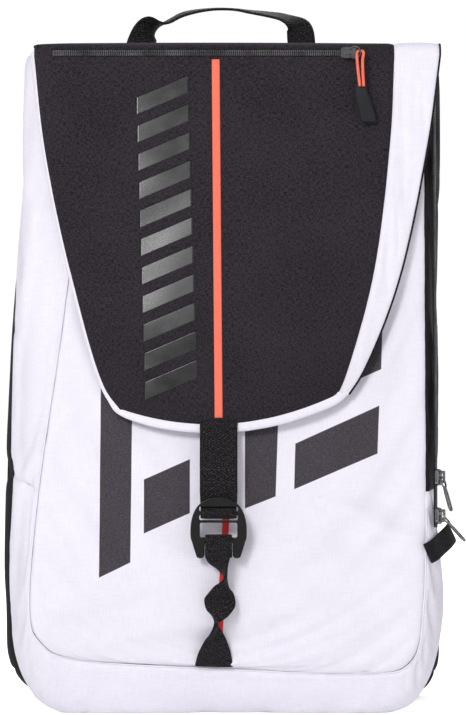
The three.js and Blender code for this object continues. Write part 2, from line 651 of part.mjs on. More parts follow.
function sideZipChain() {
  const point = (u, v) =>
    zipLow.clone().lerp(zipHigh, v).addScaledVector(zipWide, (u - 0.5) * 8).addScaledVector(zipBack, -2.2);
  return sheet(point, 1.2, 1, 16, -1);
}
add("side_zip_chain", sideZipChain(), BLACK_WEB);

for (const [name, z, tilt] of [["upper", 187, 0.28], ["lower", 157, 0.75]]) {
  const at = zipLow.clone().lerp(zipHigh, (z - SIDE_ZIP_END) / (SIDE_ZIP_TOP - SIDE_ZIP_END));
  at.addScaledVector(zipBack, -2.2 - GAP);
  place(add(`side_slider_${name}`, zipSlider(), METAL), at, zipWide, zipBack, zipUp);
  const [sin, cos] = [Math.sin(tilt), Math.cos(tilt)];
  const back = zipBack.clone().multiplyScalar(cos).addScaledVector(zipUp, -sin);
  const up = zipUp.clone().multiplyScalar(cos).addScaledVector(zipBack, sin);
  const eye = at.clone().addScaledVector(zipBack, -EYE_OUT);
  place(add(`side_pull_${name}`, metalPull(), METAL), eye, zipWide, back, up);
}

function sideTab() {
  const points = [
    vec(160.8, -99.6, 128), vec(166, -96, 130.5), vec(172, -87, 135), vec(178, -79, 140), vec(181, -72, 143),
  ];
  return webbing(points, 17, () => vec(-0.35, 0, 1), 10, 2.2);
}
add("side_tab", sideTab(), BLACK_WEB);

export default pack;
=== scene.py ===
import json
import math

import bpy
import numpy as np
from mathutils import Matrix, Vector, noise
from mathutils.bvhtree import BVHTree

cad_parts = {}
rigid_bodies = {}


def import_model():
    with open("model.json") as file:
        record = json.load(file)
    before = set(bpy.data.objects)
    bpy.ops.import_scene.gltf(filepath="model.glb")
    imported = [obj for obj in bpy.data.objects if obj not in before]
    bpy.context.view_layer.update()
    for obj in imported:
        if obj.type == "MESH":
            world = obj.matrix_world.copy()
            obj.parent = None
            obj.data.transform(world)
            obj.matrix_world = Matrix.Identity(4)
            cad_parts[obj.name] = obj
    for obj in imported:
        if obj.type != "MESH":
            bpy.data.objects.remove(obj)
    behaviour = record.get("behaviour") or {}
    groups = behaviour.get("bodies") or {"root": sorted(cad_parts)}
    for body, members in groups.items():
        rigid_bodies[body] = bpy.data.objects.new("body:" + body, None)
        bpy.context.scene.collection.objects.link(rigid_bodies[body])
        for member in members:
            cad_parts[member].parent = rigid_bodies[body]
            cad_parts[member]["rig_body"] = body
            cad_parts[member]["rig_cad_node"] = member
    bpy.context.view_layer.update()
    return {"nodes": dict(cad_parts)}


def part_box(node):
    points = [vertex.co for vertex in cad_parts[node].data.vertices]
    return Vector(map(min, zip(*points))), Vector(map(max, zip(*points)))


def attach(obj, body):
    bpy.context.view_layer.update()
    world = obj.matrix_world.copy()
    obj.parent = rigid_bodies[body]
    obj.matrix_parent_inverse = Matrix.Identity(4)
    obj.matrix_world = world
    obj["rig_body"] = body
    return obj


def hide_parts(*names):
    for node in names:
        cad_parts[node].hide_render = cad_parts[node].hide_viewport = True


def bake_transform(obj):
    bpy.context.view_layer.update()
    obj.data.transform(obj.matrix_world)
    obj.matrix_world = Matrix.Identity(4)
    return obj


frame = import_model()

scene = bpy.context.scene
MM = 0.001

# ---------------------------------------------------------------- camera
PICTURE_HEIGHT = 0.565
LOOK_AT = Vector((0.0087, -0.06, 0.2808))
ELEVATION = math.radians(1.0)
LENS, SENSOR = 220.0, 36.0
camera = bpy.data.objects.new("camera", bpy.data.cameras.new("camera"))
scene.collection.objects.link(camera)
camera.data.lens, camera.data.sensor_width = LENS, SENSOR
camera.data.clip_end = 50.0
backwards = Vector((0, -math.cos(ELEVATION), math.sin(ELEVATION)))
camera.location = LOOK_AT + backwards * (PICTURE_HEIGHT * LENS / SENSOR)
camera.rotation_mode = "QUATERNION"
camera.rotation_quaternion = (-backwards).to_track_quat("-Z", "Y")
scene.camera = camera

# ---------------------------------------------------------------- the bag's outlines
# Lists of [x, z] in millimetres, in the CAD's frame. The first three run from the left rim round the base to
# the right rim, in SPANS stretches. The side and rear edges stand up to 10 mm off the CAD's plainer ones.
RIM, TOP = 521.0, 529.0
MIDDLE_Y, REAR_Y, BACK_Y = 42.0, 88.0, 91.4
FRONT_SEAM = [(-104, RIM), (-114, 405), (-128, 292), (-144, 178), (-151, 88), (-142, 57), (-110, 44), (0, 37),
              (112, 33), (149, 43), (158, 88), (160.5, 178), (160.5, 292), (160.5, 405), (160.5, RIM)]
SIDE_EDGE = [(-157, RIM), (-160.5, 405), (-164.8, 292), (-166.2, 178), (-165, 88), (-156.5, 31), (-120, 0),
             (0, 0), (124, 0), (160.5, 24), (173.5, 88), (171, 178), (171, 292), (171, 405), (171, RIM)]
REAR_EDGE = [(-153, RIM), (-161, 405), (-171, 292), (-176, 178), (-176.5, 88), (-170, 24), (-130, 0), (0, 0),
             (138, 0), (173.5, 22), (173.5, 88), (172, 178), (172, 292), (171, 405), (168, RIM)]
FLAP_LEFT = [(-151, TOP), (-141, 450), (-118, 344), (-92, 258), (-80, 241)]
FLAP_RIGHT = [(136, TOP), (132, 450), (118, 344), (96, 266), (90, 252)]
WING_EDGE = [(173, TOP), (162, 450), (138, 340), (110, 270), (97, 250)]
HOOK_X, HOOK_Y, HOOK_Z = -2.5, -118.0, 149.5
ZIP_Z, STITCH_Z = 521.5, 514.8
FLAP_OUT = 9.0
SPANS = len(FRONT_SEAM) - 1
HANG = 17.0


def spline(points, even=False):
    """A Catmull-Rom curve through the points: a function of 0..1, for one value or an array."""
    p = np.array(points, float)
    p = np.vstack([2 * p[0] - p[1], p, 2 * p[-1] - p[-2]])
    gaps = np.maximum(np.linalg.norm(np.diff(p, axis=0), axis=1), 1e-6) ** (0 if even else 0.5)

    def at(t):
        t = np.atleast_1d(np.asarray(t, float))
        k = np.clip(t, 0, 1) * (len(p) - 3)
        i = np.minimum(k.astype(int), len(p) - 4)
        w = (k - i)[:, None]
        x0, x1, x2, x3 = p[i], p[i + 1], p[i + 2], p[i + 3]
        a, b, c = gaps[i][:, None], gaps[i + 1][:, None], gaps[i + 2][:, None]
        m1 = ((x1 - x0) / a - (x2 - x0) / (a + b) + (x2 - x1) / b) * b
        m2 = ((x2 - x1) / b - (x3 - x1) / (b + c) + (x3 - x2) / c) * b
        return x1 + m1 * w + (3 * x2 - 3 * x1 - 2 * m1 - m2) * w**2 + (2 * x1 - 2 * x2 + m1 + m2) * w**3

    return at


seam_line, side_line, rear_line = (spline(p, even=True) for p in (FRONT_SEAM, SIDE_EDGE, REAR_EDGE))
flap_left, flap_right, wing_edge = (spline(p) for p in (FLAP_LEFT, FLAP_RIGHT, WING_EDGE))


def lerp(a, b, t):
    return a + (b - a) * t


def ease(t):
    t = np.clip(t, 0, 1)
    return t * t * (3 - 2 * t)


def seam_y(z):
    """How far forward the front's seam stands at a height."""
    z = np.asarray(z, float)
    low = lerp(-84.0, -100.0, np.sin(np.clip(z / 100, 0, 1) * math.pi / 2))
    return np.where(z >= 100, lerp(-100.0, -46.0, (z - 100) / (RIM - 100)), low)


def crown(x, z):
    """How far the front bulges beyond its seam."""
    heights = np.array([p[1] for p in FRONT_SEAM[:5]][::-1], float)
    left = np.interp(z, heights, np.array([p[0] for p in FRONT_SEAM[:5]][::-1], float))
    across = np.clip((x - left) / (160 - left), 0, 1)
    low, high = np.clip((z - 40) / 80, 0, 1), np.clip((RIM - 20 - z) / 200, 0, 1)
    return 48 * across * (1 - across) * np.sin(low * math.pi / 2) * np.sin(high * math.pi / 2)


def body_y(x, z):
    return seam_y(z) - crown(x, z)


def flap_y(x, z, out):
    """The flap's face, out millimetres off the body; its left edge wraps back near the top."""
    wrap = np.maximum(0, (-118 - x) / 33)
    return body_y(np.clip(x, -118, 158), z) - out + 18 * wrap**2 * np.clip((z - 380) / 120, 0, 1)


def hem_sag(u, v):
    """How far the flap hangs below the line between its two edges."""
    return HANG * (1 - (2 * u - 1) ** 2) * np.clip((v - 0.5) / 0.5, 0, 1) ** 2


def flap_xz(u, v):
    """x and z of the flap's face: u across, v from the fold down to the hem."""
    p = lerp(flap_left(v), flap_right(v), np.asarray(u, float)[:, None])
    return p[:, 0], p[:, 1] - hem_sag(u, v)


def quad_grid(corners, rows, cols):
    """x and z of a grid between four corners [x, z]."""
    a, b, c, d = np.array(corners, float)
    s, t = (w[..., None] for w in np.meshgrid(np.linspace(0, 1, cols), np.linspace(0, 1, rows)))
    return np.moveaxis(lerp(lerp(a, b, s), lerp(d, c, s), t), -1, 0)


def straight(a, b, count):
    """Evenly spaced points from a to b."""
    return np.linspace(np.asarray(a, float), np.asarray(b, float), count)


def fractal(x, y, z, size, seed=0.0, octaves=3):
    """Smooth noise over points given in millimetres, about -1 to 1."""
    flat = np.stack(np.broadcast_arrays(x, y, z), -1).reshape(-1, 3) / size + seed
    made = [noise.fractal(Vector(p), 0.9, 2.1, octaves, noise_basis="PERLIN_ORIGINAL") for p in flat]
    return np.array(made).reshape(np.broadcast(x, y, z).shape)


# ---------------------------------------------------------------- meshes
def grid_normals(P):
    du, dv = np.gradient(P, axis=1), np.gradient(P, axis=0)
    n = np.cross(du, dv)
    return n / np.maximum(np.linalg.norm(n, axis=2, keepdims=True), 1e-9)


def arc_uv(P):
    """Running lengths along the rows and the columns of a grid, in metres."""
    du = np.linalg.norm(np.diff(P, axis=1), axis=2).mean(0)
    dv = np.linalg.norm(np.diff(P, axis=0), axis=2).mean(1)
    u, v = np.r_[0, np.cumsum(du)], np.r_[0, np.cumsum(dv)]
    return np.stack(np.meshgrid(u, v), -1) * MM


def add_mesh(name, verts, faces, uv=None, smooth=True):
    mesh = bpy.data.meshes.new(name)
    mesh.from_pydata(np.asarray(verts, float) * MM, [], faces)
    if uv is not None:
        layer = mesh.uv_layers.new(name="cloth")
        loops = np.zeros(len(mesh.loops), int)
        mesh.loops.foreach_get("vertex_index", loops)
        layer.data.foreach_set("uv", np.asarray(uv, np.float32).reshape(-1, 2)[loops].ravel())
    mesh.validate()
    if smooth:
        mesh.shade_smooth()
    made = bpy.data.objects.new(name, mesh)
    scene.collection.objects.link(made)
    return made


def outward(name, verts, faces, uv=None, smooth=True):
    """add_mesh with its faces turned out, by the sign of its volume."""
    v = np.asarray(verts, float)
    volume = sum(np.dot(v[f[0]], np.cross(v[f[1]], v[f[2]])) for f in faces)
    volume += sum(np.dot(v[f[0]], np.cross(v[f[2]], v[f[3]])) for f in faces if len(f) == 4)
    if volume < 0:
        faces = [tuple(reversed(f)) for f in faces]
    return add_mesh(name, verts, faces, uv, smooth)


def finish_piece(made, body, look, replaces=()):
    made.data.materials.clear()
    made.data.materials.append(look)
    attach(made, body)
    if replaces:
        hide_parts(*([replaces] if isinstance(replaces, str) else replaces))
    return made


def grid_faces(rows, cols):
    return [(j * cols + i, j * cols + i + 1, (j + 1) * cols + i + 1, (j + 1) * cols + i)
            for j in range(rows - 1) for i in range(cols - 1)]


def shell(name, P, thick, side=1, edge=0.5):
    """A closed cloth solid with a rounded rim. P is its outer face; its inner face lies thick behind it."""
    P = np.asarray(P, float)
    rows, cols = P.shape[:2]
    inner = P + grid_normals(P) * side * thick
    uv = arc_uv(P)
    count = rows * cols
    verts, uvs = [P.reshape(-1, 3), inner.reshape(-1, 3)], [uv.reshape(-1, 2), uv.reshape(-1, 2)]
    ring = [(0, i) for i in range(cols)] + [(j, cols - 1) for j in range(1, rows)]
    ring += [(rows - 1, i) for i in range(cols - 2, -1, -1)] + [(j, 0) for j in range(rows - 2, 0, -1)]
    middle = []
    for j, i in ring:
        inside = P[min(max(j, 1), rows - 2), min(max(i, 1), cols - 2)]
        out = P[j, i] - inside
        out = out / max(np.linalg.norm(out), 1e-9)
        middle.append((P[j, i] + inner[j, i]) / 2 + out * edge * thick)
    verts.append(np.array(middle))
    uvs.append(np.array([uv[j, i] for j, i in ring]))
    faces = grid_faces(rows, cols)
    faces += [(a + count, d + count, c + count, b + count) for a, b, c, d in faces]
    loop = [j * cols + i for j, i in ring]
    for k in range(len(ring)):
        q = (k + 1) % len(ring)
        m0, m1 = 2 * count + k, 2 * count + q
        faces.append((loop[q], loop[k], m0, m1))
        faces.append((m1, m0, loop[k] + count, loop[q] + count))
    return outward(name, np.vstack(verts), faces, np.vstack(uvs))


def cut_from(P):
    """Turns a sheet's grid into metres, and keeps nothing of it."""
    P = np.asarray(P, float) * MM


def unit(vectors):
    return vectors / np.maximum(np.linalg.norm(vectors, axis=1, keepdims=True), 1e-9)


def tangents(line):
    return unit(np.gradient(line, axis=0))


def square_to(tangent, direction):
    """Unit vectors square to the tangents, as near as they can be to a direction."""
    side = np.broadcast_to(np.asarray(direction, float), tangent.shape)
    return unit(side - tangent * (side * tangent).sum(1, keepdims=True))


def run_of(line):
    """Length along a line up to each of its points."""
    return np.r_[0, np.cumsum(np.linalg.norm(np.diff(line, axis=0), axis=1))]


def swept(name, rings, uvs=None):
    """A solid swept through rings of points, and closed at its two ends."""
    n, m = len(rings), len(rings[0])
    faces = [(k * m + i, k * m + (i + 1) % m, (k + 1) * m + (i + 1) % m, (k + 1) * m + i)
             for k in range(n - 1) for i in range(m)]
    faces += [tuple(range(m - 1, -1, -1)), tuple((n - 1) * m + i for i in range(m))]
    return outward(name, np.vstack(rings), faces, None if uvs is None else np.vstack(uvs))


def ribbon(name, line, width, across, thick, columns=9):
    """Webbing along a line: a flat section with rounded edges, swept."""
    line = np.asarray(line, float)
    width = np.broadcast_to(np.asarray(width, float), len(line))
    thick = np.broadcast_to(np.asarray(thick, float), len(line))
    tangent = tangents(line)
    side = square_to(tangent, across)
    normal = np.cross(side, tangent)
    s = np.linspace(-1, 1, columns)
    half = np.sqrt(np.clip(1 - np.abs(s) ** 10, 0.02, 1))
    wide, tall = np.r_[s, s[::-1]], np.r_[half, -half[::-1]]
    rings, uvs = [], []
    for k, run in enumerate(run_of(line)):
        from_middle = wide * width[k] / 2
        rings.append(line[k] + np.outer(from_middle, side[k]) + np.outer(tall * thick[k] / 2, normal[k]))
        uvs.append(np.stack([from_middle, np.full(len(wide), run)], 1) * MM)
    return swept(name, rings, uvs)


def tube(name, line, radius, sides=10):
    line = np.asarray(line, float)
    tangent = tangents(line)
    up = np.array([0, 0, 1.0]) if abs(tangent[0][2]) < 0.9 else np.array([0, 1.0, 0])
    angle = np.arange(sides) * 2 * math.pi / sides
    rings, uvs = [], []
    for k, run in enumerate(run_of(line)):
        side = np.cross(tangent[k], up)
        side /= np.linalg.norm(side)
        up = np.cross(side, tangent[k])
        rings.append(line[k] + radius * (np.outer(np.cos(angle), side) + np.outer(np.sin(angle), up)))
        uvs.append(np.stack([angle * radius, np.full(sides, run)], 1) * MM)
    return swept(name, rings, uvs)


def beads(name, centres, along, across, out, size):
    """Many small rounded bars in one mesh, such as stitches or zip coils. size holds half a bar's length,
    width and height."""
    profile = [(-1, 0.55), (-0.55, 1), (0.55, 1), (1, 0.55)]
    verts, faces = [], []
    for c, a, b, o in zip(centres, along, across, out):
        start = len(verts)
        for s, r in profile:
            for t in np.arange(6) * math.pi / 3:
                section = b * math.cos(t) * r * size[1] + o * math.sin(t) * r * size[2]
                verts.append(c + a * s * size[0] + section)
        for k in range(3):
            for q in range(6):
                this, following = start + k * 6 + q, start + k * 6 + (q + 1) % 6
                faces.append((this, following, following + 6, this + 6))
        faces += [tuple(start + q for q in range(5, -1, -1)), tuple(start + 18 + q for q in range(6))]
    return outward(name, verts, faces)


def resample(line, step):
    line = np.asarray(line, float)
    run = run_of(line)
    at = np.arange(step / 2, run[-1], step)
    return np.stack([np.interp(at, run, line[:, k]) for k in range(3)], 1)


STITCH, STITCH_GAP = 2.6, 1.2


def stitches(name, line, normal, body, lift=0.05):
    """A row of thread stitches along a line that lies on a surface."""
    points = resample(line, STITCH + STITCH_GAP)
    tangent = tangents(points)
    out = square_to(tangent, normal)
    side = np.cross(tangent, out)
    finish_piece(beads(name, points + out * lift, tangent, side, out, (STITCH / 2, 0.32, 0.28)), body, THREAD)


def web(name, line, width, across, thick, body, node=(), columns=9):
    """A length of black webbing, finished."""
    return finish_piece(ribbon(name, line, width, across, thick, columns), body, WEB, node)


# ---------------------------------------------------------------- cloth simulation
def run_cloth(made, steps, gravity, **settings):
    """Simulates a mesh that is pinned by its group "pin", and gives its vertices in metres."""
    cloth = made.modifiers.new("cloth", "CLOTH")
    for key, value in settings.items():
        setattr(cloth.settings, key, value)
    cloth.settings.vertex_group_mass = "pin"
    cloth.settings.effector_weights.gravity = gravity
    cloth.collision_settings.use_collision = False
    cloth.point_cache.frame_start, cloth.point_cache.frame_end = 1, steps + 1
    for frame_number in range(1, steps + 1):
        scene.frame_set(frame_number)
    graph = bpy.context.evaluated_depsgraph_get()
    got = vertices_of(made.evaluated_get(graph).to_mesh())
    made.modifiers.clear()
    scene.frame_set(1)
    return got


def vertices_of(mesh):
    got = np.zeros(len(mesh.vertices) * 3)
    mesh.vertices.foreach_get("co", got)
    return got.reshape(-1, 3)


def pin(made, weights):
    group = made.vertex_groups.new(name="pin")
    for k in np.flatnonzero(weights > 0):
        group.add([int(k)], float(weights[k]), "REPLACE")


def settle(P, pinned, slack, pressure):
    """Lets a grid of slightly long cloth settle between its pinned points, and gives its new points."""
    made = add_mesh("settling", P.reshape(-1, 3), grid_faces(*P.shape[:2]))
    pin(made, pinned.ravel())
    got = run_cloth(made, 18, 0.15, quality=6, mass=0.25, tension_stiffness=12, compression_stiffness=12,
                    shear_stiffness=6, bending_stiffness=2.0, tension_damping=20, compression_damping=20,
                    air_damping=6, shrink_min=-slack, use_pressure=True, uniform_pressure_force=pressure)
    bpy.data.objects.remove(made)
    return got.reshape(P.shape) / MM


def blur(a, sigma):
    reach = int(3 * sigma) + 1
    kernel = np.exp(-0.5 * (np.arange(-reach, reach + 1) / sigma) ** 2)
    kernel /= kernel.sum()
    for axis in (0, 1):
        pad = [(0, 0)] * a.ndim
        pad[axis] = (reach, reach)
        wide = np.pad(a, pad, mode="edge")
        a = sum(w * np.take(wide, np.arange(a.shape[axis]) + k, axis) for k, w in enumerate(kernel))
    return a


def blur_line(a, sigma):
    return blur(a[:, None, None], sigma)[:, 0, 0]


def border_distance(P):
    """Distance in millimetres of each grid point from the grid's nearest border."""
    rows, cols = P.shape[:2]
    across = np.cumsum(np.pad(np.linalg.norm(np.diff(P, axis=1), axis=2), ((0, 0), (1, 0))), 1)
    down = np.cumsum(np.pad(np.linalg.norm(np.diff(P, axis=0), axis=2), ((1, 0), (0, 0))), 0)
    return np.minimum(np.minimum(across, across[:, -1:] - across), np.minimum(down, down[-1:] - down))


def wrinkled(P, cap, small, slack, pressure):
    """The grid after settling, with its slow swell capped and its folds kept."""
    pinned = np.ones(P.shape[:2])
    pinned[1:-1, 1:-1] = 0
    normal = -grid_normals(P)
    lift = np.zeros(P.shape[:2])
    lift = ((settle(P, pinned, slack, pressure) - P) * normal).sum(2)
    slow = blur(lift, 7)
    keep = np.tanh(slow / cap) * cap + np.clip(lift - slow, -2.5, 2.5) * small
    return P + normal * (keep * ease(border_distance(P) / 6))[..., None]


def skin_of(made):
    """A piece's surface, to lay trims on."""
    return BVHTree.FromPolygons([v.co.copy() for v in made.data.vertices],
                                [tuple(p.vertices) for p in made.data.polygons])


def laid(skin, x, z, lift, fallback):
    """Points on a skin seen from the front, lifted off it; fallback gives y where the skin has no cloth."""
    x, z = np.broadcast_arrays(np.asarray(x, float), np.asarray(z, float))
    y = np.asarray(fallback, float) * np.ones(x.shape)
    for k in np.ndindex(x.shape):
        hit = skin.ray_cast(Vector((x[k] * MM, -0.4, z[k] * MM)), Vector((0, 1, 0)), 0.5)[0]
        if hit is not None and abs(hit.y / MM - y[k]) < 8:
            y[k] = hit.y / MM
    return np.stack([x, y - lift, z], -1)


# ---------------------------------------------------------------- materials
class Look:
    """A small helper that builds one node material around a Principled shader."""

    def __init__(self, name, color, rough, metal=0.0, sheen=0.0, specular=0.5):
        self.made = bpy.data.materials.new(name)
        self.made.use_nodes = True
        self.made.diffuse_color = (*color, 1)
        self.tree = self.made.node_tree
        self.shader = self.tree.nodes["Principled BSDF"]
        plain = {"Base Color": (*color, 1), "Roughness": rough, "Metallic": metal, "Sheen Weight": sheen,
                 "Sheen Roughness": 0.4, "Specular IOR Level": specular}
        for socket, value in plain.items():
            self.feed(self.shader.inputs[socket], value)

    def feed(self, socket, value):
        """Links a socket to another node's output, or sets its number."""
        if isinstance(value, bpy.types.NodeSocket):
            self.tree.links.new(value, socket)
        else:
            socket.default_value = value

    def node(self, kind, inputs=(), **props):
        made = self.tree.nodes.new("ShaderNode" + kind)
        for key, value in props.items():
            setattr(made, key, value)
        for key, value in dict(inputs).items():
            self.feed(made.inputs[key], value)
        return made

    def math(self, operation, a, b=0.0, c=0.0, clamp=False):
        return self.node("Math", {0: a, 1: b, 2: c}, operation=operation, use_clamp=clamp).outputs[0]

    def mix(self, factor, a, b):
        """A colour between a and b, each a colour or another node's output."""
        a, b = (c if isinstance(c, bpy.types.NodeSocket) else (*c, 1) for c in (a, b))
        return self.node("Mix", {"Factor": factor, 6: a, 7: b}, data_type="RGBA").outputs[2]

    def point(self, source="Object"):
        return self.node("TexCoord").outputs[source]

    def axes(self, vector):
        return self.node("SeparateXYZ", {0: vector}).outputs

    def scaled(self, vector, x, y, z=1.0):
        return self.node("Mapping", {"Vector": vector, "Scale": (x, y, z)}).outputs[0]

    def noise(self, vector, scale, detail=2.0, rough=0.5):
        made = self.node("TexNoise", {"Vector": vector, "Scale": scale, "Detail": detail, "Roughness": rough})
        return made.outputs[0]

    def band(self, value, low, high):
        return self.node("MapRange", {"Value": value, "From Min": low, "From Max": high}).outputs[0]

    def set(self, **sockets):
        for name, value in sockets.items():
            self.feed(self.shader.inputs[name.replace("_", " ")], value)

    def bump(self, height, distance, strength=1.0, under=None):
        inputs = {"Height": height, "Distance": distance, "Strength": strength}
        if under is not None:
            inputs["Normal"] = under
        return self.node("Bump", inputs).outputs[0]


def weave(look, vector, pitch):
    """Height of a plain weave whose threads are pitch metres apart."""
    u, v, _ = look.axes(look.scaled(vector, 1 / pitch, 1 / pitch))
    parity = look.math("MODULO", look.math("ADD", look.math("FLOOR", u), look.math("FLOOR", v)), 2)
    parity = look.math("ABSOLUTE", parity)
    over = look.math("SINE", look.math("MULTIPLY", look.math("FRACT", u), math.pi))
    under = look.math("SINE", look.math("MULTIPLY", look.math("FRACT", v), math.pi))
    first = look.math("MULTIPLY", over, parity)
    second = look.math("MULTIPLY", under, look.math("SUBTRACT", 1.0, parity))
    return look.math("ADD", first, second)


def cloth_look(name, dark, light, rough, pitch=0.0009, streaks=0.6, stretch=0.08, source="UV", bump=0.00018):
    """Woven cloth: threads that differ in tone along their length, a plain weave and a faint unevenness. The
    weave's crowns are painted a little lighter than the hollows between the threads, as painted highlight and
    painted shade.
    """
    look = Look(name, lerp(np.array(dark), np.array(light), 0.5), rough, sheen=0.05, specular=0.12)
    at = look.point(source)
    if source == "Object":
        x, y, z = look.axes(at)
        at = look.node("CombineXYZ", {0: look.math("ADD", x, y), 1: z}).outputs[0]
    warp = look.noise(look.scaled(at, 1 / pitch, stretch / pitch), 1.0, 2)
    weft = look.noise(look.scaled(at, stretch / pitch, 1 / pitch), 1.0, 2)
    height = weave(look, at, pitch)
    thread = look.math("MULTIPLY", look.math("ADD", warp, weft), 0.5)
    patch = look.noise(look.point(), 22.0, 3)
    tone = look.math("ADD", look.math("MULTIPLY", look.math("SUBTRACT", thread, 0.5), 3.2 * streaks),
                     look.math("MULTIPLY", look.math("SUBTRACT", patch, 0.5), 0.5))
    # The weave's height lifts the tone: painted highlight on the threads' crowns and painted shade in the
    # hollows between them.
    tone = look.math("ADD", look.math("ADD", tone, 0.45), look.math("MULTIPLY", height, 0.12), clamp=True)
    look.color = look.mix(tone, dark, light)
    look.set(Base_Color=look.color, Normal=look.bump(thread, bump * 1.3, 0.5, look.bump(height, bump, 0.8)))
    return look


def white_cloth(name):
    return cloth_look(name, (0.77, 0.74, 0.83), (0.91, 0.88, 0.95), 0.85, streaks=0.5, bump=0.00014)


LANE, RIB = 0.0038, 0.0022


def webbing():
    """Ribbed webbing: lanes of slanted ribs that change direction across the width, their crowns painted
    lighter than their grooves as painted highlight and painted shade.
    """
    dark, light = (0.0024, 0.002, 0.0024), (0.077, 0.069, 0.076)
    look = Look("black_webbing", dark, 0.72, sheen=0.06, specular=0.16)
    u, v, _ = look.axes(look.point("UV"))
    lanes = look.math("PINGPONG", u, LANE)
    slant = look.math("ADD", v, look.math("MULTIPLY", lanes, 0.8))
    rib = look.math("SINE", look.math("MULTIPLY", slant, 2 * math.pi / RIB))
    rib = look.math("MULTIPLY_ADD", rib, 0.5, 0.5)
    fleck = look.noise(look.scaled(look.point("UV"), 900, 420), 1.0, 3)
    # The ribs' relief sets the tone: painted highlight on the rib crowns and painted shade in the grooves,
    # broken up by random flecks.
    tone = look.math("MULTIPLY", rib, look.band(fleck, 0.42, 0.76), clamp=True)
    look.set(Base_Color=look.mix(tone, dark, light))
    look.set(Normal=look.bump(fleck, 0.0001, 0.5, look.bump(rib, 0.0003, 0.9)))
    return look.made


WHITE = white_cloth("white_cloth").made
BLACK = cloth_look("black_cloth", (0.005, 0.0047, 0.0055), (0.02, 0.0188, 0.021), 0.8, streaks=0.5).made
CHARCOAL = cloth_look("charcoal_cloth", (0.008, 0.0065, 0.0085), (0.046, 0.0375, 0.0475), 0.85, pitch=0.0006,
                      streaks=1.5, stretch=0.22).made
LINING = cloth_look("lining_cloth", (0.012, 0.012, 0.013), (0.03, 0.03, 0.033), 0.55, pitch=0.0006).made
MESHED = cloth_look("mesh_back", (0.01, 0.01, 0.011), (0.035, 0.034, 0.037), 0.85, source="Object").made
WEB = webbing()
CORAL = cloth_look("coral_tape", (0.90, 0.16, 0.095), (1.0, 0.24, 0.16), 0.45, pitch=0.0007, streaks=0.3).made
RED = cloth_look("red_tape", (0.62, 0.028, 0.033), (0.86, 0.06, 0.065), 0.5, pitch=0.0007, streaks=0.3).made


def spacer_look():
    """Open spacer mesh: round holes in a hexagonal net over foam, the holes painted near black as painted
    shade inside them.
    """
    look = Look("spacer_mesh", (0.02, 0.02, 0.022), 0.85, sheen=0.1, specular=0.12)
    x, y, z = look.axes(look.point())
    flat = look.node("CombineXYZ", {0: x, 1: z}).outputs[0]
    cells = look.node("TexVoronoi", {"Vector": flat, "Scale": 330.0, "Randomness": 0.12},
                      voronoi_dimensions="2D")
    hole = look.band(cells.outputs["Distance"], 0.25, 0.5)
    fuzz = look.noise(look.point(), 500, 2)
    # Near black in each hole's middle: painted shade inside the holes, which the bump also sinks.
    tone = look.math("MULTIPLY", hole, look.band(fuzz, 0.2, 0.8))
    look.set(Base_Color=look.mix(tone, (0.004, 0.004, 0.0045), (0.05, 0.049, 0.053)))
    look.set(Normal=look.bump(fuzz, 0.0002, 0.4, look.bump(hole, 0.0008, 1.0)))
    return look.made


def moulded_look(name, dark, light, rough, bump=0.00006, specular=0.35):
    """Moulded plastic, rubber, film or thread: a fine grain, and patches that differ in tone and shine."""
    look = Look(name, dark, rough, specular=specular)
    grain = look.noise(look.point(), 1400, 3, 0.6)
    worn = look.noise(look.point(), 60, 4, 0.6)
    look.set(Base_Color=look.mix(look.band(worn, 0.35, 0.75), dark, light))
    look.set(Roughness=look.math("MULTIPLY_ADD", worn, 0.2, rough - 0.1))
    look.set(Normal=look.bump(grain, bump, 0.5))
    return look.made


def metal_look():
    look = Look("gunmetal", (0.32, 0.31, 0.32), 0.25, metal=1.0)
    smear = look.noise(look.scaled(look.point(), 400, 400, 150), 1.0, 3)
    blotch = look.noise(look.point(), 60, 3)
    look.set(Base_Color=look.mix(look.band(blotch, 0.3, 0.7), (0.17, 0.165, 0.172), (0.27, 0.265, 0.275)))
    look.set(Roughness=look.math("MULTIPLY_ADD", smear, 0.12, 0.16))
    look.set(Normal=look.bump(smear, 0.00002, 0.2))
    return look.made


SPACER = spacer_look()
PLASTIC = moulded_look("black_plastic", (0.002, 0.002, 0.0024), (0.006, 0.0058, 0.0063), 0.3, specular=0.3)
RUBBER = moulded_look("grip_rubber", (0.01, 0.0105, 0.012), (0.02, 0.021, 0.024), 0.6, 0.00012, specular=0.2)
VINYL = moulded_look("gloss_vinyl", (0.004, 0.004, 0.0045), (0.009, 0.009, 0.01), 0.24, 0.00003, specular=0.6)
METAL = metal_look()
THREAD = moulded_look("dark_thread", (0.02, 0.018, 0.02), (0.05, 0.046, 0.05), 0.8)
COIL = moulded_look("zip_coil", (0.04, 0.038, 0.041), (0.16, 0.155, 0.162), 0.35, specular=0.5)

# The print on the front: plain slanted blocks, each a convex outline of [x, z] in millimetres.
PRINT = [
    [(-95, 262), (-70, 272), (-71.5, 121.5), (-96, 109.5)],
    [(-61, 186), (-25, 202), (-25, 160), (-61, 144)],
    [(18, 232), (44.5, 243), (42, 173), (18, 163.5)],
    [(57.5, 214), (123.5, 243.5), (122, 206), (56.5, 178.5)],
    [(98, 260), (125, 272), (126.5, 310), (98, 300)],
]


def extreme_of(look, values, operation):
    """The least or the greatest of several outputs."""
    total = values[0]
    for value in values[1:]:
        total = look.math(operation, total, value)
    return total


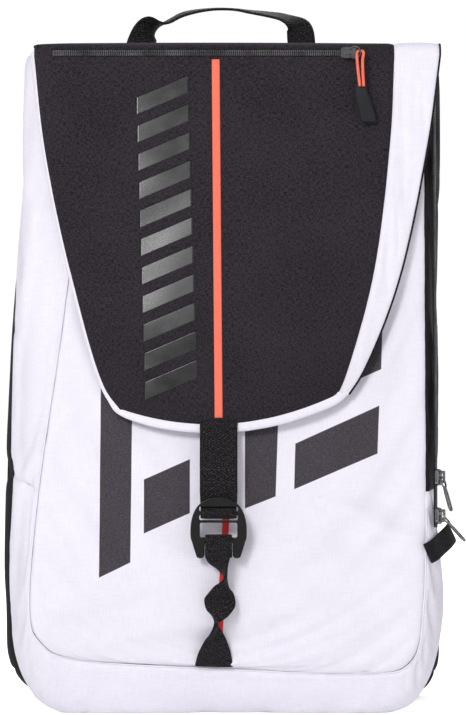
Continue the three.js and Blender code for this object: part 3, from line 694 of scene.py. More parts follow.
def inside_block(look, block, x, z):
    """How far inside a convex block each point lies, in metres."""
    corners = np.array(block, float) * MM
    depths = []
    for a, b in zip(corners, np.roll(corners, -1, 0)):
        n = np.array([b[1] - a[1], a[0] - b[0]])
        n /= np.linalg.norm(n)
        n *= np.sign(np.dot(corners.mean(0) - a, n))
        from_edge = look.math("MULTIPLY_ADD", x, float(n[0]), -float(np.dot(a, n)))
        depths.append(look.math("ADD", from_edge, look.math("MULTIPLY", z, float(n[1]))))
    return extreme_of(look, depths, "MINIMUM")


def printed_cloth():
    """The white cloth with its matt charcoal print, which keeps the weave."""
    look = white_cloth("printed_cloth")
    x, _, z = look.axes(look.point())
    depth = extreme_of(look, [inside_block(look, block, x, z) for block in PRINT], "MAXIMUM")
    mask = look.band(depth, -0.0002, 0.0002)
    speck = look.noise(look.scaled(look.point(), 1300, 1300, 1300), 1.0, 2, 0.7)
    ink = look.mix(look.band(speck, 0.3, 0.75), (0.03, 0.0255, 0.032), (0.104, 0.092, 0.107))
    look.set(Base_Color=look.mix(mask, look.color, ink))
    return look.made


PRINTED = printed_cloth()

# ---------------------------------------------------------------- front compartment
def soft_edge(P, side, depth=1.5, reach=3.5, pucker=0.35):
    """Sinks a panel's borders into its seams, with small uneven puckers beside them."""
    d = border_distance(P)
    ripple = fractal(P[..., 0], P[..., 1], P[..., 2], 9, 3.1, 2) * pucker * np.exp(-d / 10) * ease(d / 2)
    return P + grid_normals(P) * side * ((ripple - depth * np.exp(-((d / reach) ** 2)))[..., None])


# Soft creases in the front: [x, z] to [x, z], height and half width
CREASES = [
    (78, 174, 159, 138, 1.5, 6), (70, 158, 158, 124, -1.2, 6), (44, 140, 150, 108, 1.1, 8),
    (30, 112, 128, 66, 1.0, 9), (60, 206, 158, 192, 0.9, 6), (20, 78, 120, 44, -0.9, 7),
    (-150, 74, -52, 134, 1.1, 9), (-140, 58, -40, 100, -1.0, 8), (-120, 50, -20, 76, 0.9, 7),
    (-146, 120, -100, 160, 0.8, 8), (-138, 200, -108, 262, 0.8, 6), (108, 300, 150, 360, 0.9, 7),
    (128, 250, 158, 300, -0.8, 6),
]


def creases(x, z):
    """How far the front's soft folds stand out at each point, wavering a little along their length."""
    sway = fractal(x, x * 0, z, 45, 21.0, 2) * 7
    total = np.zeros(x.shape)
    for x0, z0, x1, z1, height, half in CREASES:
        a, b = np.array([x0, z0], float), np.array([x1, z1], float)
        length = np.linalg.norm(b - a)
        d = (b - a) / length
        along = ((x - x0) * d[0] + (z - z0) * d[1]) / length
        aside = (x - x0) * -d[1] + (z - z0) * d[0] + sway
        fade = ease(along / 0.3) * ease((1.1 - along) / 0.3)
        ridge = np.exp(-((aside / half) ** 2)) - 0.55 * np.exp(-(((aside - 1.7 * half) / half) ** 2))
        total += height * fade * ridge
    return total


def front_panel():
    rows, cols = 132, 92
    v = np.linspace(0, 1, rows)
    left, right = seam_line(v * 6 / SPANS), seam_line(1 - v * 6 / SPANS)
    u = np.linspace(0.003, 0.997, cols)
    bottom = seam_line(lerp(6 / SPANS, 8 / SPANS, u))[:, 1]
    P = np.zeros((rows, cols, 3))
    P[..., 0] = lerp(left[:, :1], right[:, :1], u)
    P[..., 2] = lerp(left[:, 1:], right[:, 1:], u)
    P[..., 2] += (v**5)[:, None] * (bottom - P[-1, :, 2])
    P[..., 2] = np.minimum(P[..., 2], RIM)
    P[..., 1] = body_y(P[..., 0], P[..., 2])
    P = wrinkled(P, cap=2.0, small=0.7, slack=0.012, pressure=0.15)
    P[..., 1] -= 1.4 * creases(P[..., 0], P[..., 2])
    broad = fractal(P[..., 0], P[..., 1], P[..., 2] * 1.6, 70, 7.7, 2)
    calm = ease(border_distance(P) / 40) * (1 - 0.6 * ease((P[..., 2] - 215) / 40))
    P[..., 1] -= broad * 2.2 * calm
    return soft_edge(P, -1)


front_grid = front_panel()
front = shell("front_panel_cloth", front_grid, 2.2)
finish_piece(front, "pack", PRINTED, "front_panel")
cut_from(front_grid)
front_skin = skin_of(front)


ROUND_SHARE = 0.55
LEFT_SEAM_AT = 0.2154


def gusset_points(t, v):
    """Grid of the front gusset: t round the bag from the left rim, v from the front seam back. Its front part
    is rounded, and its columns near the seam across its left side slope."""
    share = ROUND_SHARE
    slope = 0.0075 * np.exp(-(((t - LEFT_SEAM_AT) / 0.02) ** 2))
    seam, side = seam_line(t), side_line(t - slope)
    turn = np.minimum(v / share, 1)[:, None] * math.pi / 2
    P = np.zeros((len(v), len(t), 3))
    P[..., 0] = lerp(seam[:, 0], side[:, 0], np.sin(turn))
    P[..., 2] = np.clip(lerp(seam[:, 1], side[:, 1], np.sin(turn)), 0, RIM)
    rounded = seam_y(seam[:, 1]) + 40 * (1 - np.cos(turn))
    straight = lerp(rounded, MIDDLE_Y - 0.4, np.maximum(0, (v[:, None] - share) / (1 - share)))
    P[..., 1] = np.where(v[:, None] < share, rounded, straight)
    return P


STATIONS = 260
ts, vs = np.linspace(0, 1, STATIONS + 1), np.linspace(0, 1, 34)
whole = gusset_points(ts, vs)
soft = wrinkled(whole, cap=1.6, small=0.9, slack=0.014, pressure=0.1)
soft[..., 2] = np.maximum(soft[..., 2], 0)
flat_base = ease((25 - whole[..., 2]) / 15)[..., None]
soft = lerp(soft, whole, flat_base * ease((vs - 0.5) / 0.1)[:, None, None])
for name, low, high, look, slot in (
    ("left_gusset", 0, 56, WHITE, "white_cloth"),
    ("lower_gusset", 56, 204, WHITE, "white_cloth"),
    ("right_gusset", 204, STATIONS, BLACK, "black_cloth"),
):
    part = soft[:, low:high + 1].copy()
    if low:
        part[:, 0] = lerp(part[:, 0], part[:, 1], 0.05)
    if high < STATIONS:
        part[:, -1] = lerp(part[:, -1], part[:, -2], 0.05)
    part = soft_edge(part, -1, depth=1.2, reach=2.6)
    piece = shell(name + "_cloth", part, 2.2)
    finish_piece(piece, "pack", look, name)
    cut_from(part)

seam = seam_line(np.linspace(0, 0.775, 240))
welt = np.stack([seam[:, 0], seam_y(seam[:, 1]) + 0.9, np.minimum(seam[:, 1], RIM - 1)], 1)
finish_piece(tube("front_seam_piping", welt, 0.75, 8), "pack", WHITE)

# ---------------------------------------------------------------- racket compartment
def rear_grid(t0, t1, count):
    """Grid of the rear gusset between two places round the bag, from its middle seam back."""
    t, v = np.linspace(t0, t1, count), np.linspace(0, 1, 16)
    edge, front_edge = rear_line(t), side_line(t)
    P = np.zeros((len(v), count, 3))
    swell = np.sin(np.clip(v / 0.5, 0, 1) * math.pi / 2)[:, None]
    P[..., 0] = lerp(front_edge[:, 0], edge[:, 0], swell)
    P[..., 2] = np.clip(lerp(front_edge[:, 1], edge[:, 1], swell), 0, RIM)
    P[..., 0] += 3.0 * np.exp(-(((P[..., 2] - 187) / 9) ** 2)) * (P[..., 0] < 0)
    P[..., 1] = lerp(MIDDLE_Y + 0.4, REAR_Y, v)[:, None]
    lump = fractal(P[..., 0] * 0 + t[None, :] * 900, P[..., 1], P[..., 2] * 0, 60, 5.0, 2)
    lifted = ease(P[..., 2] / 40)
    return P - grid_normals(P) * ((1.2 * lump + 1.5 * np.sin(v * math.pi)[:, None]) * lifted)[..., None]


for name, t0, t1, count in (("rear_gusset_left", 0, 5, 90), ("rear_gusset_base", 5.01, 8.99, 60),
                            ("rear_gusset_right", 9, SPANS, 90)):
    P = soft_edge(rear_grid(t0 / SPANS, t1 / SPANS, count), -1, depth=0.9, reach=2.5, pucker=0.3)
    P[..., 2] = np.maximum(P[..., 2], 0)
    piece = finish_piece(shell(name + "_cloth", P, 2.2), "pack", BLACK, name)
    cut_from(P)


def cross_grid(y, inset, top, rows, puff, side):
    """A panel across the bag at depth y, whose border follows the rear outline."""
    cols = 60
    v = np.linspace(0, 1, rows)
    half = np.linspace(0, 0.5, 400)
    left, right = (np.maximum(rear_line(t), [-999, 1.2 - inset]) for t in (half, 1 - half))
    keep = slice(None, 372)  # the rest runs level along the base
    height = lerp(top, left[keep][-1, 1] + inset, v)
    lx = np.interp(-height + inset, -left[keep, 1], left[keep, 0]) + inset
    rx = np.interp(-height + inset, -right[keep, 1], right[keep, 0]) - inset
    u = np.linspace(0, 1, cols)
    P = np.zeros((rows, cols, 3))
    P[..., 0], P[..., 2] = lerp(lx[:, None], rx[:, None], u), height[:, None]
    P[..., 1] = y + side * puff * ease(border_distance(P + np.array([0, y, 0])) / 25)
    return P


inner = cross_grid(MIDDLE_Y + 1.6, 6, RIM - 30, 60, puff=0.5, side=-1)
piece = shell("divider_cloth", inner, 2.6)
finish_piece(piece, "pack", CHARCOAL, "divider")
cut_from(inner)
back = cross_grid(BACK_Y - 0.4, 1.0, RIM - 0.5, 80, puff=0.4, side=1)
uneven = fractal(back[..., 0], back[..., 1], back[..., 2], 40, 2.0, 2)
back[..., 1] += 0.4 * uneven * ease(border_distance(back) / 20)
piece = shell("back_panel_cloth", back, 2.4, side=-1)
finish_piece(piece, "pack", MESHED, "back_panel")
cut_from(back)
for name, outline, narrow, y, low, radius in (("back_edge_piping", rear_line, 1.0, REAR_Y + 1.6, 1.3, 1.5),
                                              ("middle_seam_piping", side_line, 0.998, MIDDLE_Y, 1.2, 1.2)):
    x, z = outline(np.linspace(0, 1, 260)).T
    edge = np.stack([x * narrow, np.full(260, y), np.clip(z, low, RIM - 1)], 1)
    finish_piece(tube(name, edge, radius, 8), "pack", WEB)


def rim_line():
    """The line of the mouth's binding, from the back's left corner round the front to its right corner."""
    left, right = ([tuple(p[0, :2]) for p in gusset_points(np.array([end]), np.linspace(0, ROUND_SHARE, 9))]
                   for end in (0.0, 1.0))
    points = [(-150.5, REAR_Y - 3), (-151, MIDDLE_Y), (-151.5, 0)] + left[::-1]
    points += [(0, -46)] + right + [(168, 0), (168.5, MIDDLE_Y), (166.5, REAR_Y - 3)]
    line = spline(points)(np.linspace(0, 1, 220))
    line[:, 0] *= np.where(line[:, 0] < 0, 0.962, 0.992)
    line[:, 1] += np.where(line[:, 1] < -20, 1.4, 0)
    return np.stack([line[:, 0], line[:, 1], np.full(220, RIM + 0.2)], 1)


finish_piece(tube("mouth_binding_cloth", rim_line(), 1.9, 10), "pack", WEB, "mouth_binding")


# ---------------------------------------------------------------- padding on the back
SWELL, VOXEL = 0.004, 0.005


def baked(made):
    """Applies a piece's modifiers."""
    graph = bpy.context.evaluated_depsgraph_get()
    made.data = bpy.data.meshes.new_from_object(made.evaluated_get(graph))
    made.modifiers.clear()


def copy_of(node, name):
    source = frame["nodes"][node]
    made = source.copy()
    made.data = source.data.copy()
    made.name, made.parent = name, None
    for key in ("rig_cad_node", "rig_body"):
        if key in made:
            del made[key]
    made.hide_render = False
    scene.collection.objects.link(made)
    return made


def puffed(node):
    """A pad on the back: the CAD solid remeshed, swollen by cloth pressure on its flat back, and smoothed."""
    made = copy_of(node, node + "_foam")
    low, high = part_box(node)
    centre = (low + high) / 2
    for vertex in made.data.vertices:
        vertex.co = centre + (vertex.co - centre) * 0.96
    remesh = made.modifiers.new("remesh", "REMESH")
    remesh.mode, remesh.voxel_size = "VOXEL", VOXEL
    baked(made)
    moved = vertices_of(made.data)
    pin(made, moved[:, 1] < low.y + 0.0022)
    step = run_cloth(made, 16, 0.0, quality=5, mass=0.3, bending_stiffness=0.6, use_pressure=True,
                     uniform_pressure_force=3.5) - moved
    size = np.maximum(np.linalg.norm(step, axis=1, keepdims=True), 1e-9)
    moved += step * np.minimum(1, SWELL / size)
    moved[:, 1] = np.maximum(moved[:, 1], low.y)
    made.data.vertices.foreach_set("co", moved.ravel())
    made.vertex_groups.clear()
    smooth = made.modifiers.new("smooth", "CORRECTIVE_SMOOTH")
    smooth.iterations, smooth.use_only_smooth = 3, True
    finer = made.modifiers.new("finer", "SUBSURF")
    finer.levels = finer.render_levels = 1
    baked(made)
    made.data.shade_smooth()
    finish_piece(made, "pack", SPACER, node)
    return made


def quilt(made, lines):
    """Presses sewn channels into a pad's outer face: each line is ((x, z), (x, z)) in millimetres."""
    depth, reach = 2.6, 3.2
    points = vertices_of(made.data) / MM
    front = ease((points[:, 1] - points[:, 1].min() - 4) / 4)
    for a, b in lines:
        a, b = np.array(a, float), np.array(b, float)
        flat = points[:, [0, 2]]
        t = np.clip(((flat - a) @ (b - a)) / ((b - a) @ (b - a)), 0, 1)
        d = np.linalg.norm(flat - (a + t[:, None] * (b - a)), axis=1)
        points[:, 1] -= depth * np.exp(-((d / reach) ** 2)) * front
    made.data.vertices.foreach_set("co", (points * MM).ravel())
    made.data.update()


for side, x in (("left", -58), ("right", 58)):
    quilt(puffed(f"back_pad_{side}"), [((x - 42, z), (x + 42, z)) for z in (220, 288, 356)])
quilt(puffed("lumbar_pad"), [((x, 76), (x, 136)) for x in (-51, 0, 51)])

YOKE_Z = 501.0
rim = straight((-151, BACK_Y - 1.2, 519.6), (167, BACK_Y - 1.2, 519.6), 80)
web("cover_seam_web", rim, 13, (0, 0, 1), 1.2, "pack")
yoke = straight((-88, BACK_Y + 1.8, YOKE_Z), (88, BACK_Y + 1.8, YOKE_Z), 60)
web("harness_yoke_web", yoke, 20, (0, 0, 1), 2.2, "pack", "harness_yoke")
for z in (493.5, 508.5):
    stitches(f"yoke_stitch_{int(z)}", yoke + np.array([0, 1.2, z - YOKE_Z]), (0, 1, 0), "pack")

# ---------------------------------------------------------------- shoulder harness
PAD_LINE = [(50, 101, 483), (62, 112, 460), (96, 130, 400), (134, 141, 335), (148, 141, 275), (149, 131, 228)]
LOCK = np.array([148.0, 124.0, 203.0])


def superellipse(count, wide_power, tall_power):
    """A rounded, squarish section: its sides from -1 to 1, and its heights."""
    angle = np.linspace(0, 2 * math.pi, count + 1)[:-1]
    cs, sn = np.cos(angle), np.sin(angle)
    return np.sign(cs) * np.abs(cs) ** wide_power, np.sign(sn) * np.abs(sn) ** tall_power


def keep_cad(node, look, edge):
    """Gives a CAD piece its material, and softens its edges."""
    made = frame["nodes"][node]
    made.data.materials.clear()
    made.data.materials.append(look)
    bevel = made.modifiers.new("soft_edges", "BEVEL")
    bevel.width, bevel.segments, bevel.limit_method = edge, 2, "ANGLE"


def shoulder_pad(side, name, body):
    """The padded strap with its bindings, and the webbing sewn along its outer face."""
    count = 90
    v = np.linspace(0, 1, count)
    line = spline([(side * x, y, z) for x, y, z in PAD_LINE])(v)
    tangent = tangents(line)
    across = unit(np.cross(tangent, [0, 1.0, 0]))
    out = np.cross(across, tangent)
    half = 25 + 6 * np.sin(math.pi * v) - 7 * np.clip((v - 0.9) / 0.1, 0, 1) - 1.5
    flat, tall = superellipse(36, 0.5, 0.62)
    taper = np.sqrt(np.clip(np.minimum(v, 1 - v) / 0.03, 0.12, 1))
    ripple = fractal(line[:, 0], line[:, 1], line[:, 2], 26, 1.0 + side, 2)
    rings = []
    for k in range(count):
        wide = half[k] * (0.72 + 0.28 * taper[k])
        deep = (4.7 + 0.35 * ripple[k]) * taper[k]
        groove = 1.3 * np.exp(-((np.abs(flat) * wide - wide * 0.62) / 1.8) ** 2)
        height = tall * deep - np.sign(tall) * groove
        rings.append(line[k] + np.outer(flat * wide, across[k]) + np.outer(height, out[k]))
    pad = swept(f"shoulder_pad_{name}_foam", rings)
    finish_piece(pad, body, SPACER, f"shoulder_pad_{name}")
    for edge, label in ((-1, "a"), (1, "b")):
        bound = line + across * (edge * (half + 0.2))[:, None]
        binding = tube(f"pad_binding_{name}_{label}", bound[2:-2], 1.5, 8)
        finish_piece(binding, body, WEB)
    strap = np.vstack([line[50:] + out[50:] * 5.6, LOCK * [side, 1, 1] + [0, 3.6, 8.6]])
    strap = spline(strap[::6])(np.linspace(0, 1, 50))
    web(f"pad_webbing_{name}", strap, 23, (1, 0, 0), 1.3, body)


def shoulder(side):
    name = "left" if side < 0 else "right"
    body = f"{name}_harness"
    shoulder_pad(side, name, body)
    x, y, z = LOCK * [side, 1, 1]
    low = spline([
        (side * 128, BACK_Y + 2.4, 48), (side * 131, BACK_Y + 5.4, 68), (side * 142, y - 12, z - 70),
        (side * 148, y - 6, z - 20), (x, y - 4, z - 8), (x, y, z - 3.4), (x, y + 5, z - 10),
        (x, y + 9, z - 30), (x + side, y + 9, z - 75)])(np.linspace(0, 1, 120))
    web(f"lower_webbing_{name}_web", low, 23.4, (1, 0, 0), 1.4, body, f"lower_webbing_{name}")
    keep_cad(f"ladder_lock_{name}", PLASTIC, 0.0005)
    x, z = quad_grid([(108, 26), (152, 34), (142, 56), (114, 56)], 12, 14)
    P = np.stack([side * x, np.full(x.shape, BACK_Y + 1.9), z], -1)
    anchor = shell(f"strap_anchor_{name}_cloth", P, 1.3, side=side)
    finish_piece(anchor, "pack", BLACK, f"strap_anchor_{name}")
    cut_from(P)


shoulder(-1)
shoulder(1)

# ---------------------------------------------------------------- grab handle
HANDLE_Y = BACK_Y + 3
# Each row: [x, y, z] on the webbing's line, and the direction across the webbing there
HANDLE = [
    (-71, HANDLE_Y, RIM, 1, 0, 0), (-67, HANDLE_Y + 4, 538, 1, 0, -0.3), (-60, 104, 550, 0.75, 0.55, -0.35),
    (-46, 107, 555, 0.1, 1, 0.25), (-32, 109, 562, 0, 1, 0.2), (-10, 110, 566, 0, 1, 0.08),
    (9, 110, 566, 0, 1, 0.06), (23, 110, 564, 0, 1, 0.14), (37, 109, 562, 0, 1, 0.22),
    (51, 107, 559, 0.2, 1, 0.3), (62.5, 104, 552, 0.9, 0.45, 0.2), (65, HANDLE_Y + 5, 540, 1, 0, 0),
    (65, HANDLE_Y, RIM, 1, 0, 0),
]
along = np.linspace(0, 1, 180)
handle = spline([row[:3] for row in HANDLE])(along)
step = along * (len(HANDLE) - 1)
facing = np.stack([np.interp(step, np.arange(len(HANDLE)), column) for column in list(zip(*HANDLE))[3:]], 1)
facing = blur(facing[:, None, :], 3)[:, 0]
web("grab_handle_web", handle, 23, facing, 2.3, "handle", "grab_handle", columns=13)
for name, x in (("left", -71), ("right", 65)):
    box = straight((x, BACK_Y + 1.2, 512.8), (x, BACK_Y + 1.2, 520.2), 9)
    web(f"handle_anchor_{name}_web", box, 23.4, (1, 0, 0), 1.5, "pack", f"handle_anchor_{name}")

# ---------------------------------------------------------------- front tape and loop chain
z = np.linspace(236, 39.5, 90)
x = lerp(8.0, -3.5, (236 - z) / 198)
tape = laid(front_skin, x, z, 0.45, body_y(x, z))
finish_piece(ribbon("front_tape_cloth", tape, 5.2, (1, 0, 0), 0.6), "pack", RED, "front_tape")

# The chain where it lies on the front. Each row: x, z, height off the cloth, twist in degrees, width
LYING = [(-6.3, 39.5, 2.9, 0, 30), (-5.8, 51, 4.8, 8, 26), (-5.2, 62.5, 6.6, 20, 17),
         (-4.6, 74.5, 7.2, 90, 6), (-3.4, 82.5, 7.2, 160, 19), (-1.5, 91.5, 6, 180, 26.4),
         (0.4, 101, 7.2, 200, 18), (2.6, 110.5, 7.6, 270, 6)]
bar = HOOK_Z - 9.6
chain = [(px, float(body_y(px, pz)) - out, pz) for px, pz, out, _, _ in LYING]
chain += [(HOOK_X, HOOK_Y - 3, 126), (HOOK_X, HOOK_Y - 6.1, bar - 5), (HOOK_X, HOOK_Y - 5.6, bar + 1.6),
          (HOOK_X, HOOK_Y, bar + 3.8), (HOOK_X, HOOK_Y + 3.4, bar + 1.6), (HOOK_X, HOOK_Y + 4.1, bar - 5),
          (HOOK_X, HOOK_Y + 4.4, bar - 14)]
s = np.linspace(0, 1, 300)
k = s * (len(chain) - 1)
known = np.arange(len(chain))
round_bar = len(chain) - len(LYING)
turns = np.radians(np.interp(k, known, [row[3] for row in LYING] + [360] * round_bar))
widths = np.interp(k, known, [row[4] for row in LYING] + [21] * round_bar)
turns, widths = blur_line(turns, 3), blur_line(widths, 6)
thicks = lerp(3.2, 1.4, np.abs(np.cos(turns)))
facing = np.stack([np.cos(turns), np.sin(turns), np.zeros(300)], 1)
web("loop_chain_web", spline(chain)(s), widths, facing, thicks, "pack", "loop_chain", columns=17)

# ---------------------------------------------------------------- flap and cover, one cloth over the fold
COVER_ROWS, FOLD_ROWS, FACE_ROWS = 26, 12, 110
FOLD_DEPTH = 8.0


def over_fold(left, right, out, cols, sag):
    """Rows from the cover's back edge, over the fold and down the face, out millimetres off the body.
    left and right give x and z of the face's edges for v 0..1."""
    u = np.linspace(0, 1, cols)
    face = []
    for v in np.linspace(0.03, 1, FACE_ROWS):
        a, b = left(np.array([v]))[0], right(np.array([v]))[0]
        x, z = lerp(a[0], b[0], u), lerp(a[1], b[1], u) - sag(u, v)
        face.append(np.stack([x, flap_y(x, z, out), z], 1))
    top = TOP + 0.4
    bulge = 2.2 * np.sin(u * math.pi)
    lift = bulge * math.sin(math.pi * 0.9)
    fold = []
    for k in range(FOLD_ROWS):
        turn = (1 - k / FOLD_ROWS) * math.pi / 2
        row = face[0].copy()
        row[:, 1] += FOLD_DEPTH * (1 - math.cos(turn))
        row[:, 2] += (top - face[0][:, 2]) * math.sin(turn) + lift * (1 - k / FOLD_ROWS) ** 2
        fold.append(row)
    x0, y0 = fold[0][:, 0], fold[0][:, 1]
    cover = []
    for w in np.arange(COVER_ROWS) / COVER_ROWS:
        x = lerp(np.clip(x0, -146, 168), x0, ease((w - 0.7) / 0.3))
        height = top + bulge * math.sin(math.pi * w * 0.9)
        cover.append(np.stack([x, lerp(BACK_Y - 1.5, y0, w), height], 1))
    return np.array(cover + fold + face)


def bent_piece(piece, look, nodes=()):
    """Finishes a piece that bends over the fold, between the cover and the flap."""
    piece.data.materials.append(look)
    if nodes:
        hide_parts(*nodes)
    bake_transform(piece)


for name, x in (("left", -146.5), ("right", 161.5)):
    skirt = straight((x, 84, 521.3), (x, -40, 521.3), 40)
    web(f"cover_skirt_{name}_web", skirt, 14.6, (0, 0, 1), 1.0, "cover")


def zip_welt(P):
    """Raised cloth beside the flap zip, and the dip that it lies in."""
    x, z = P[..., 0], P[..., 2]
    on_face = (P[..., 1] < -50) * ease((x + 140) / 6) * ease((118 - x) / 6)
    d = np.abs(z - ZIP_Z)
    rise = 0.9 * np.exp(-((d - 5.2) / 1.3) ** 2) - 0.7 * np.exp(-((z - STITCH_Z) / 1.2) ** 2)
    return P - grid_normals(P) * (on_face * rise)[..., None]


flap = over_fold(flap_left, flap_right, FLAP_OUT, 96, hem_sag)
settled = wrinkled(flap, cap=1.2, small=0.7, slack=0.008, pressure=0.1)
flap = lerp(settled, flap, ease((flap[..., 2] - 500) / 12)[..., None])
drift = fractal(flap[..., 0], flap[..., 1], flap[..., 2], 80, 9.0, 2)
flap[..., 1] -= drift * 1.1 * ease((500 - flap[..., 2]) / 60) * ease(border_distance(flap) / 20)
flap = soft_edge(zip_welt(flap), -1, depth=0.8, reach=2.2, pucker=0.15)
piece = shell("flap_cloth", flap, 2.2)
flap_skin = skin_of(piece)
cut_from(flap)
bent_piece(piece, CHARCOAL, ["flap_panel", "mouth_cover"])

wing = over_fold(lambda v: flap_right(v * 0.965) + [0.9, 0], lambda v: wing_edge(v * 0.965),
                 FLAP_OUT - 0.8, 18, lambda u, v: 0.0)
fold = fractal(wing[..., 0] * 2.2, wing[..., 1] * 0.3, wing[..., 2] * 0.35, 17, 12.0, 2)
calm = ease((515 - wing[..., 2]) / 25) * ease((wing[..., 2] - 255) / 30) * ease(border_distance(wing) / 7)
wing[..., 1] -= 1.5 * fold * calm
wing = soft_edge(wing, -1, depth=0.7, reach=1.8, pucker=0.25)
piece = shell("flap_wing_cloth", wing, 1.9)
cut_from(wing)
bent_piece(piece, WHITE, ["flap_wing_right"])
# A thin black tube along the wing's outer edge: a black binding there, with the shade at the folded edge
# painted into it as a dark line.
rim = wing[:, -1] + np.array([0.7, 0.6, 0])
bent_piece(tube("flap_wing_edge_binding_and_shade", rim[6:], 0.9, 8), WEB)


def flap_strip(u0, u1, v0, v1, out, rows, cols):
    u, v = np.meshgrid(np.linspace(u0, u1, cols), np.linspace(v0, v1, rows))
    x, z = flap_xz(u.ravel(), v.ravel())
    return np.stack([x, flap_y(x, z, out), z], 1).reshape(rows, cols, 3)


lining = flap_strip(0.05, 0.97, 0.03, 0.97, 4.5, 60, 60)
piece = finish_piece(shell("flap_lining_cloth", lining, 1.2), "flap", LINING, "flap_lining")
cut_from(lining)


def flap_border():
    """One white binding down the left edge, along the hem and round the right corner."""
    down, along, up = np.linspace(0.008, 1, 110), np.linspace(0.012, 0.99, 90), np.linspace(0.998, 0.955, 12)
    bx, bz = flap_xz(along, np.ones(90))
    inner = np.vstack([flap_left(down), np.stack([bx, bz], 1), flap_right(up)])
    inner = blur(inner[:, None, :], 2.0)[:, 0]
    tangent = tangents(inner)
    out = np.stack([tangent[:, 1], -tangent[:, 0]], 1)
    wide = np.r_[np.interp(down, [0, 0.55, 0.85, 1], [2.6, 2.6, 3.4, 5.2]),
                 np.interp(along, [0, 0.15, 1], [5.4, 6.6, 7]), np.full(12, 7.0)]
    outer = inner + out * wide[:, None]
    outer[-12:] = lerp(outer[-12:], wing_edge(up), np.linspace(0.2, 1, 12)[:, None])
    outer = blur(outer[:, None, :], 2.5)[:, 0]
    inner = inner - out * 0.8
    height = np.r_[np.full(110, 7.9), np.full(90, 8.4), np.full(12, 8.6)]
    rows = []
    for w in np.linspace(0, 1, 9):
        x, z = lerp(inner, outer, w).T
        rows.append(np.stack([x, flap_y(x, z, height - 1.6 * w + math.sin(w * math.pi)), z], 1))
    return soft_edge(np.array(rows), -1, depth=0.3, reach=1.0, pucker=0.25)


piece = shell("flap_border_cloth", flap_border(), 2.0)
finish_piece(piece, "flap", WHITE, ["flap_hem", "flap_wing_left"])


def on_flap(x, z, lift):
    return laid(flap_skin, x, z, lift, flap_y(x, z, FLAP_OUT))


STRIPE_TOP = 516.4
z = np.linspace(STRIPE_TOP, 234.5, 150)
stripe = on_flap(lerp(-5.0, -2.5, (STRIPE_TOP - z) / 282), z, 0.45)
stripe[:, 1] = np.minimum(stripe[:, 1], blur_line(stripe[:, 1], 2))
piece = ribbon("flap_stripe_cloth", stripe, 6.2, (1, 0, 0), 0.7)
finish_piece(piece, "flap", CORAL, "flap_stripe")

# The flap's glossy bars: plain slanted blocks of thin film
BARS, BAR_PITCH, BAR_HALF, BAR_RISE, BAR_TALL = 11, 22.4, 21, 18, 14
for k in range(BARS):
    top = 486 - BAR_PITCH * k
    left = lerp(-47, -40, k / (BARS - 1)) - BAR_HALF
    right = left + 2 * BAR_HALF
    x, z = quad_grid([(left, top), (right, top + BAR_RISE), (right, top + BAR_RISE - BAR_TALL),
                      (left, top - BAR_TALL)], 20, 28)
    finish_piece(shell(f"flap_bar_{k}", on_flap(x, z, 0.3), 0.12, edge=0), "flap", VINYL)

# ---------------------------------------------------------------- zips
def zip_run(name, line, out, across, body, tape_width, node):
    """A zip: woven tape, then two rows of coil turns along its middle."""
    web(name + "_tape", line, tape_width, across, 0.9, body, node)
    points = resample(line, 1.5)
    tangent = tangents(points)
    out = np.broadcast_to(np.asarray(out, float), points.shape)
    side = unit(np.cross(tangent, out))
    centres = np.vstack([points + side * 1.15 * sign + out * 0.75 for sign in (-1, 1)])
    along = np.vstack([unit(side + tangent * 0.22 * sign) for sign in (-1, 1)])
    outs = np.vstack([out, out])
    coil = beads(name + "_coil", centres, along, np.cross(along, outs), outs, (1.2, 0.5, 0.55))
    finish_piece(coil, body, COIL)


x = np.linspace(-134, 106, 120)
zip_line = on_flap(x, np.full(120, ZIP_Z), 0.5)
zip_run("flap_zip", zip_line, (0, -1, 0), (0, 0, 1), "flap", 6.6, "flap_zip_chain")
x = np.linspace(-134, 103, 130)
stitches("flap_zip_stitch", on_flap(x, np.full(130, STITCH_Z), 0.1), (0, -1, 0), "flap")

low, high = (np.array([166.0, float(seam_y(z)) + 5.4, z]) for z in (148.0, 492.0))
zip_up = (high - low) / np.linalg.norm(high - low)
zip_out = np.array([0.91, -0.41, 0]) / math.hypot(0.91, 0.41)
wide = np.cross(-zip_out, zip_up)
wide /= np.linalg.norm(wide)
zip_back = np.cross(zip_up, wide)
zip_run("side_zip", straight(low, high, 130) - zip_back * 1.7, -zip_back, wide, "pack", 7.4, "side_zip_chain")

for name in ("flap_zip_slider", "flap_zip_ring", "side_slider_upper", "side_slider_lower", "side_pull_upper",
             "side_pull_lower"):
    keep_cad(name, METAL, 0.00025)



def middle_of(node):
    """The middle of a CAD piece, in millimetres."""
    low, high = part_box(node)
    return np.array((low + high) / 2) / MM


ring_at, mid_y = middle_of("flap_zip_ring"), middle_of("flap_zip_grip")[1]
GRIP_X, GRIP_TOP = 109.4, 494.0
in_ring = [(1.9, -2.6, -5), (2.2, 0, 0.4), (4.6, 2.2, 1), (6.9, 0, 0.4), (6.2, -2.8, -7)]
cord = [(GRIP_X - 0.8, mid_y, GRIP_TOP + 0.4), *(tuple(ring_at + p) for p in in_ring),
        (GRIP_X + 2.2, mid_y, GRIP_TOP + 0.4)]
cord_piece = tube("flap_zip_cord_braid", spline(cord)(np.linspace(0, 1, 90)), 1.2, 12)
finish_piece(cord_piece, "flap_pull", CORAL, "flap_zip_cord")


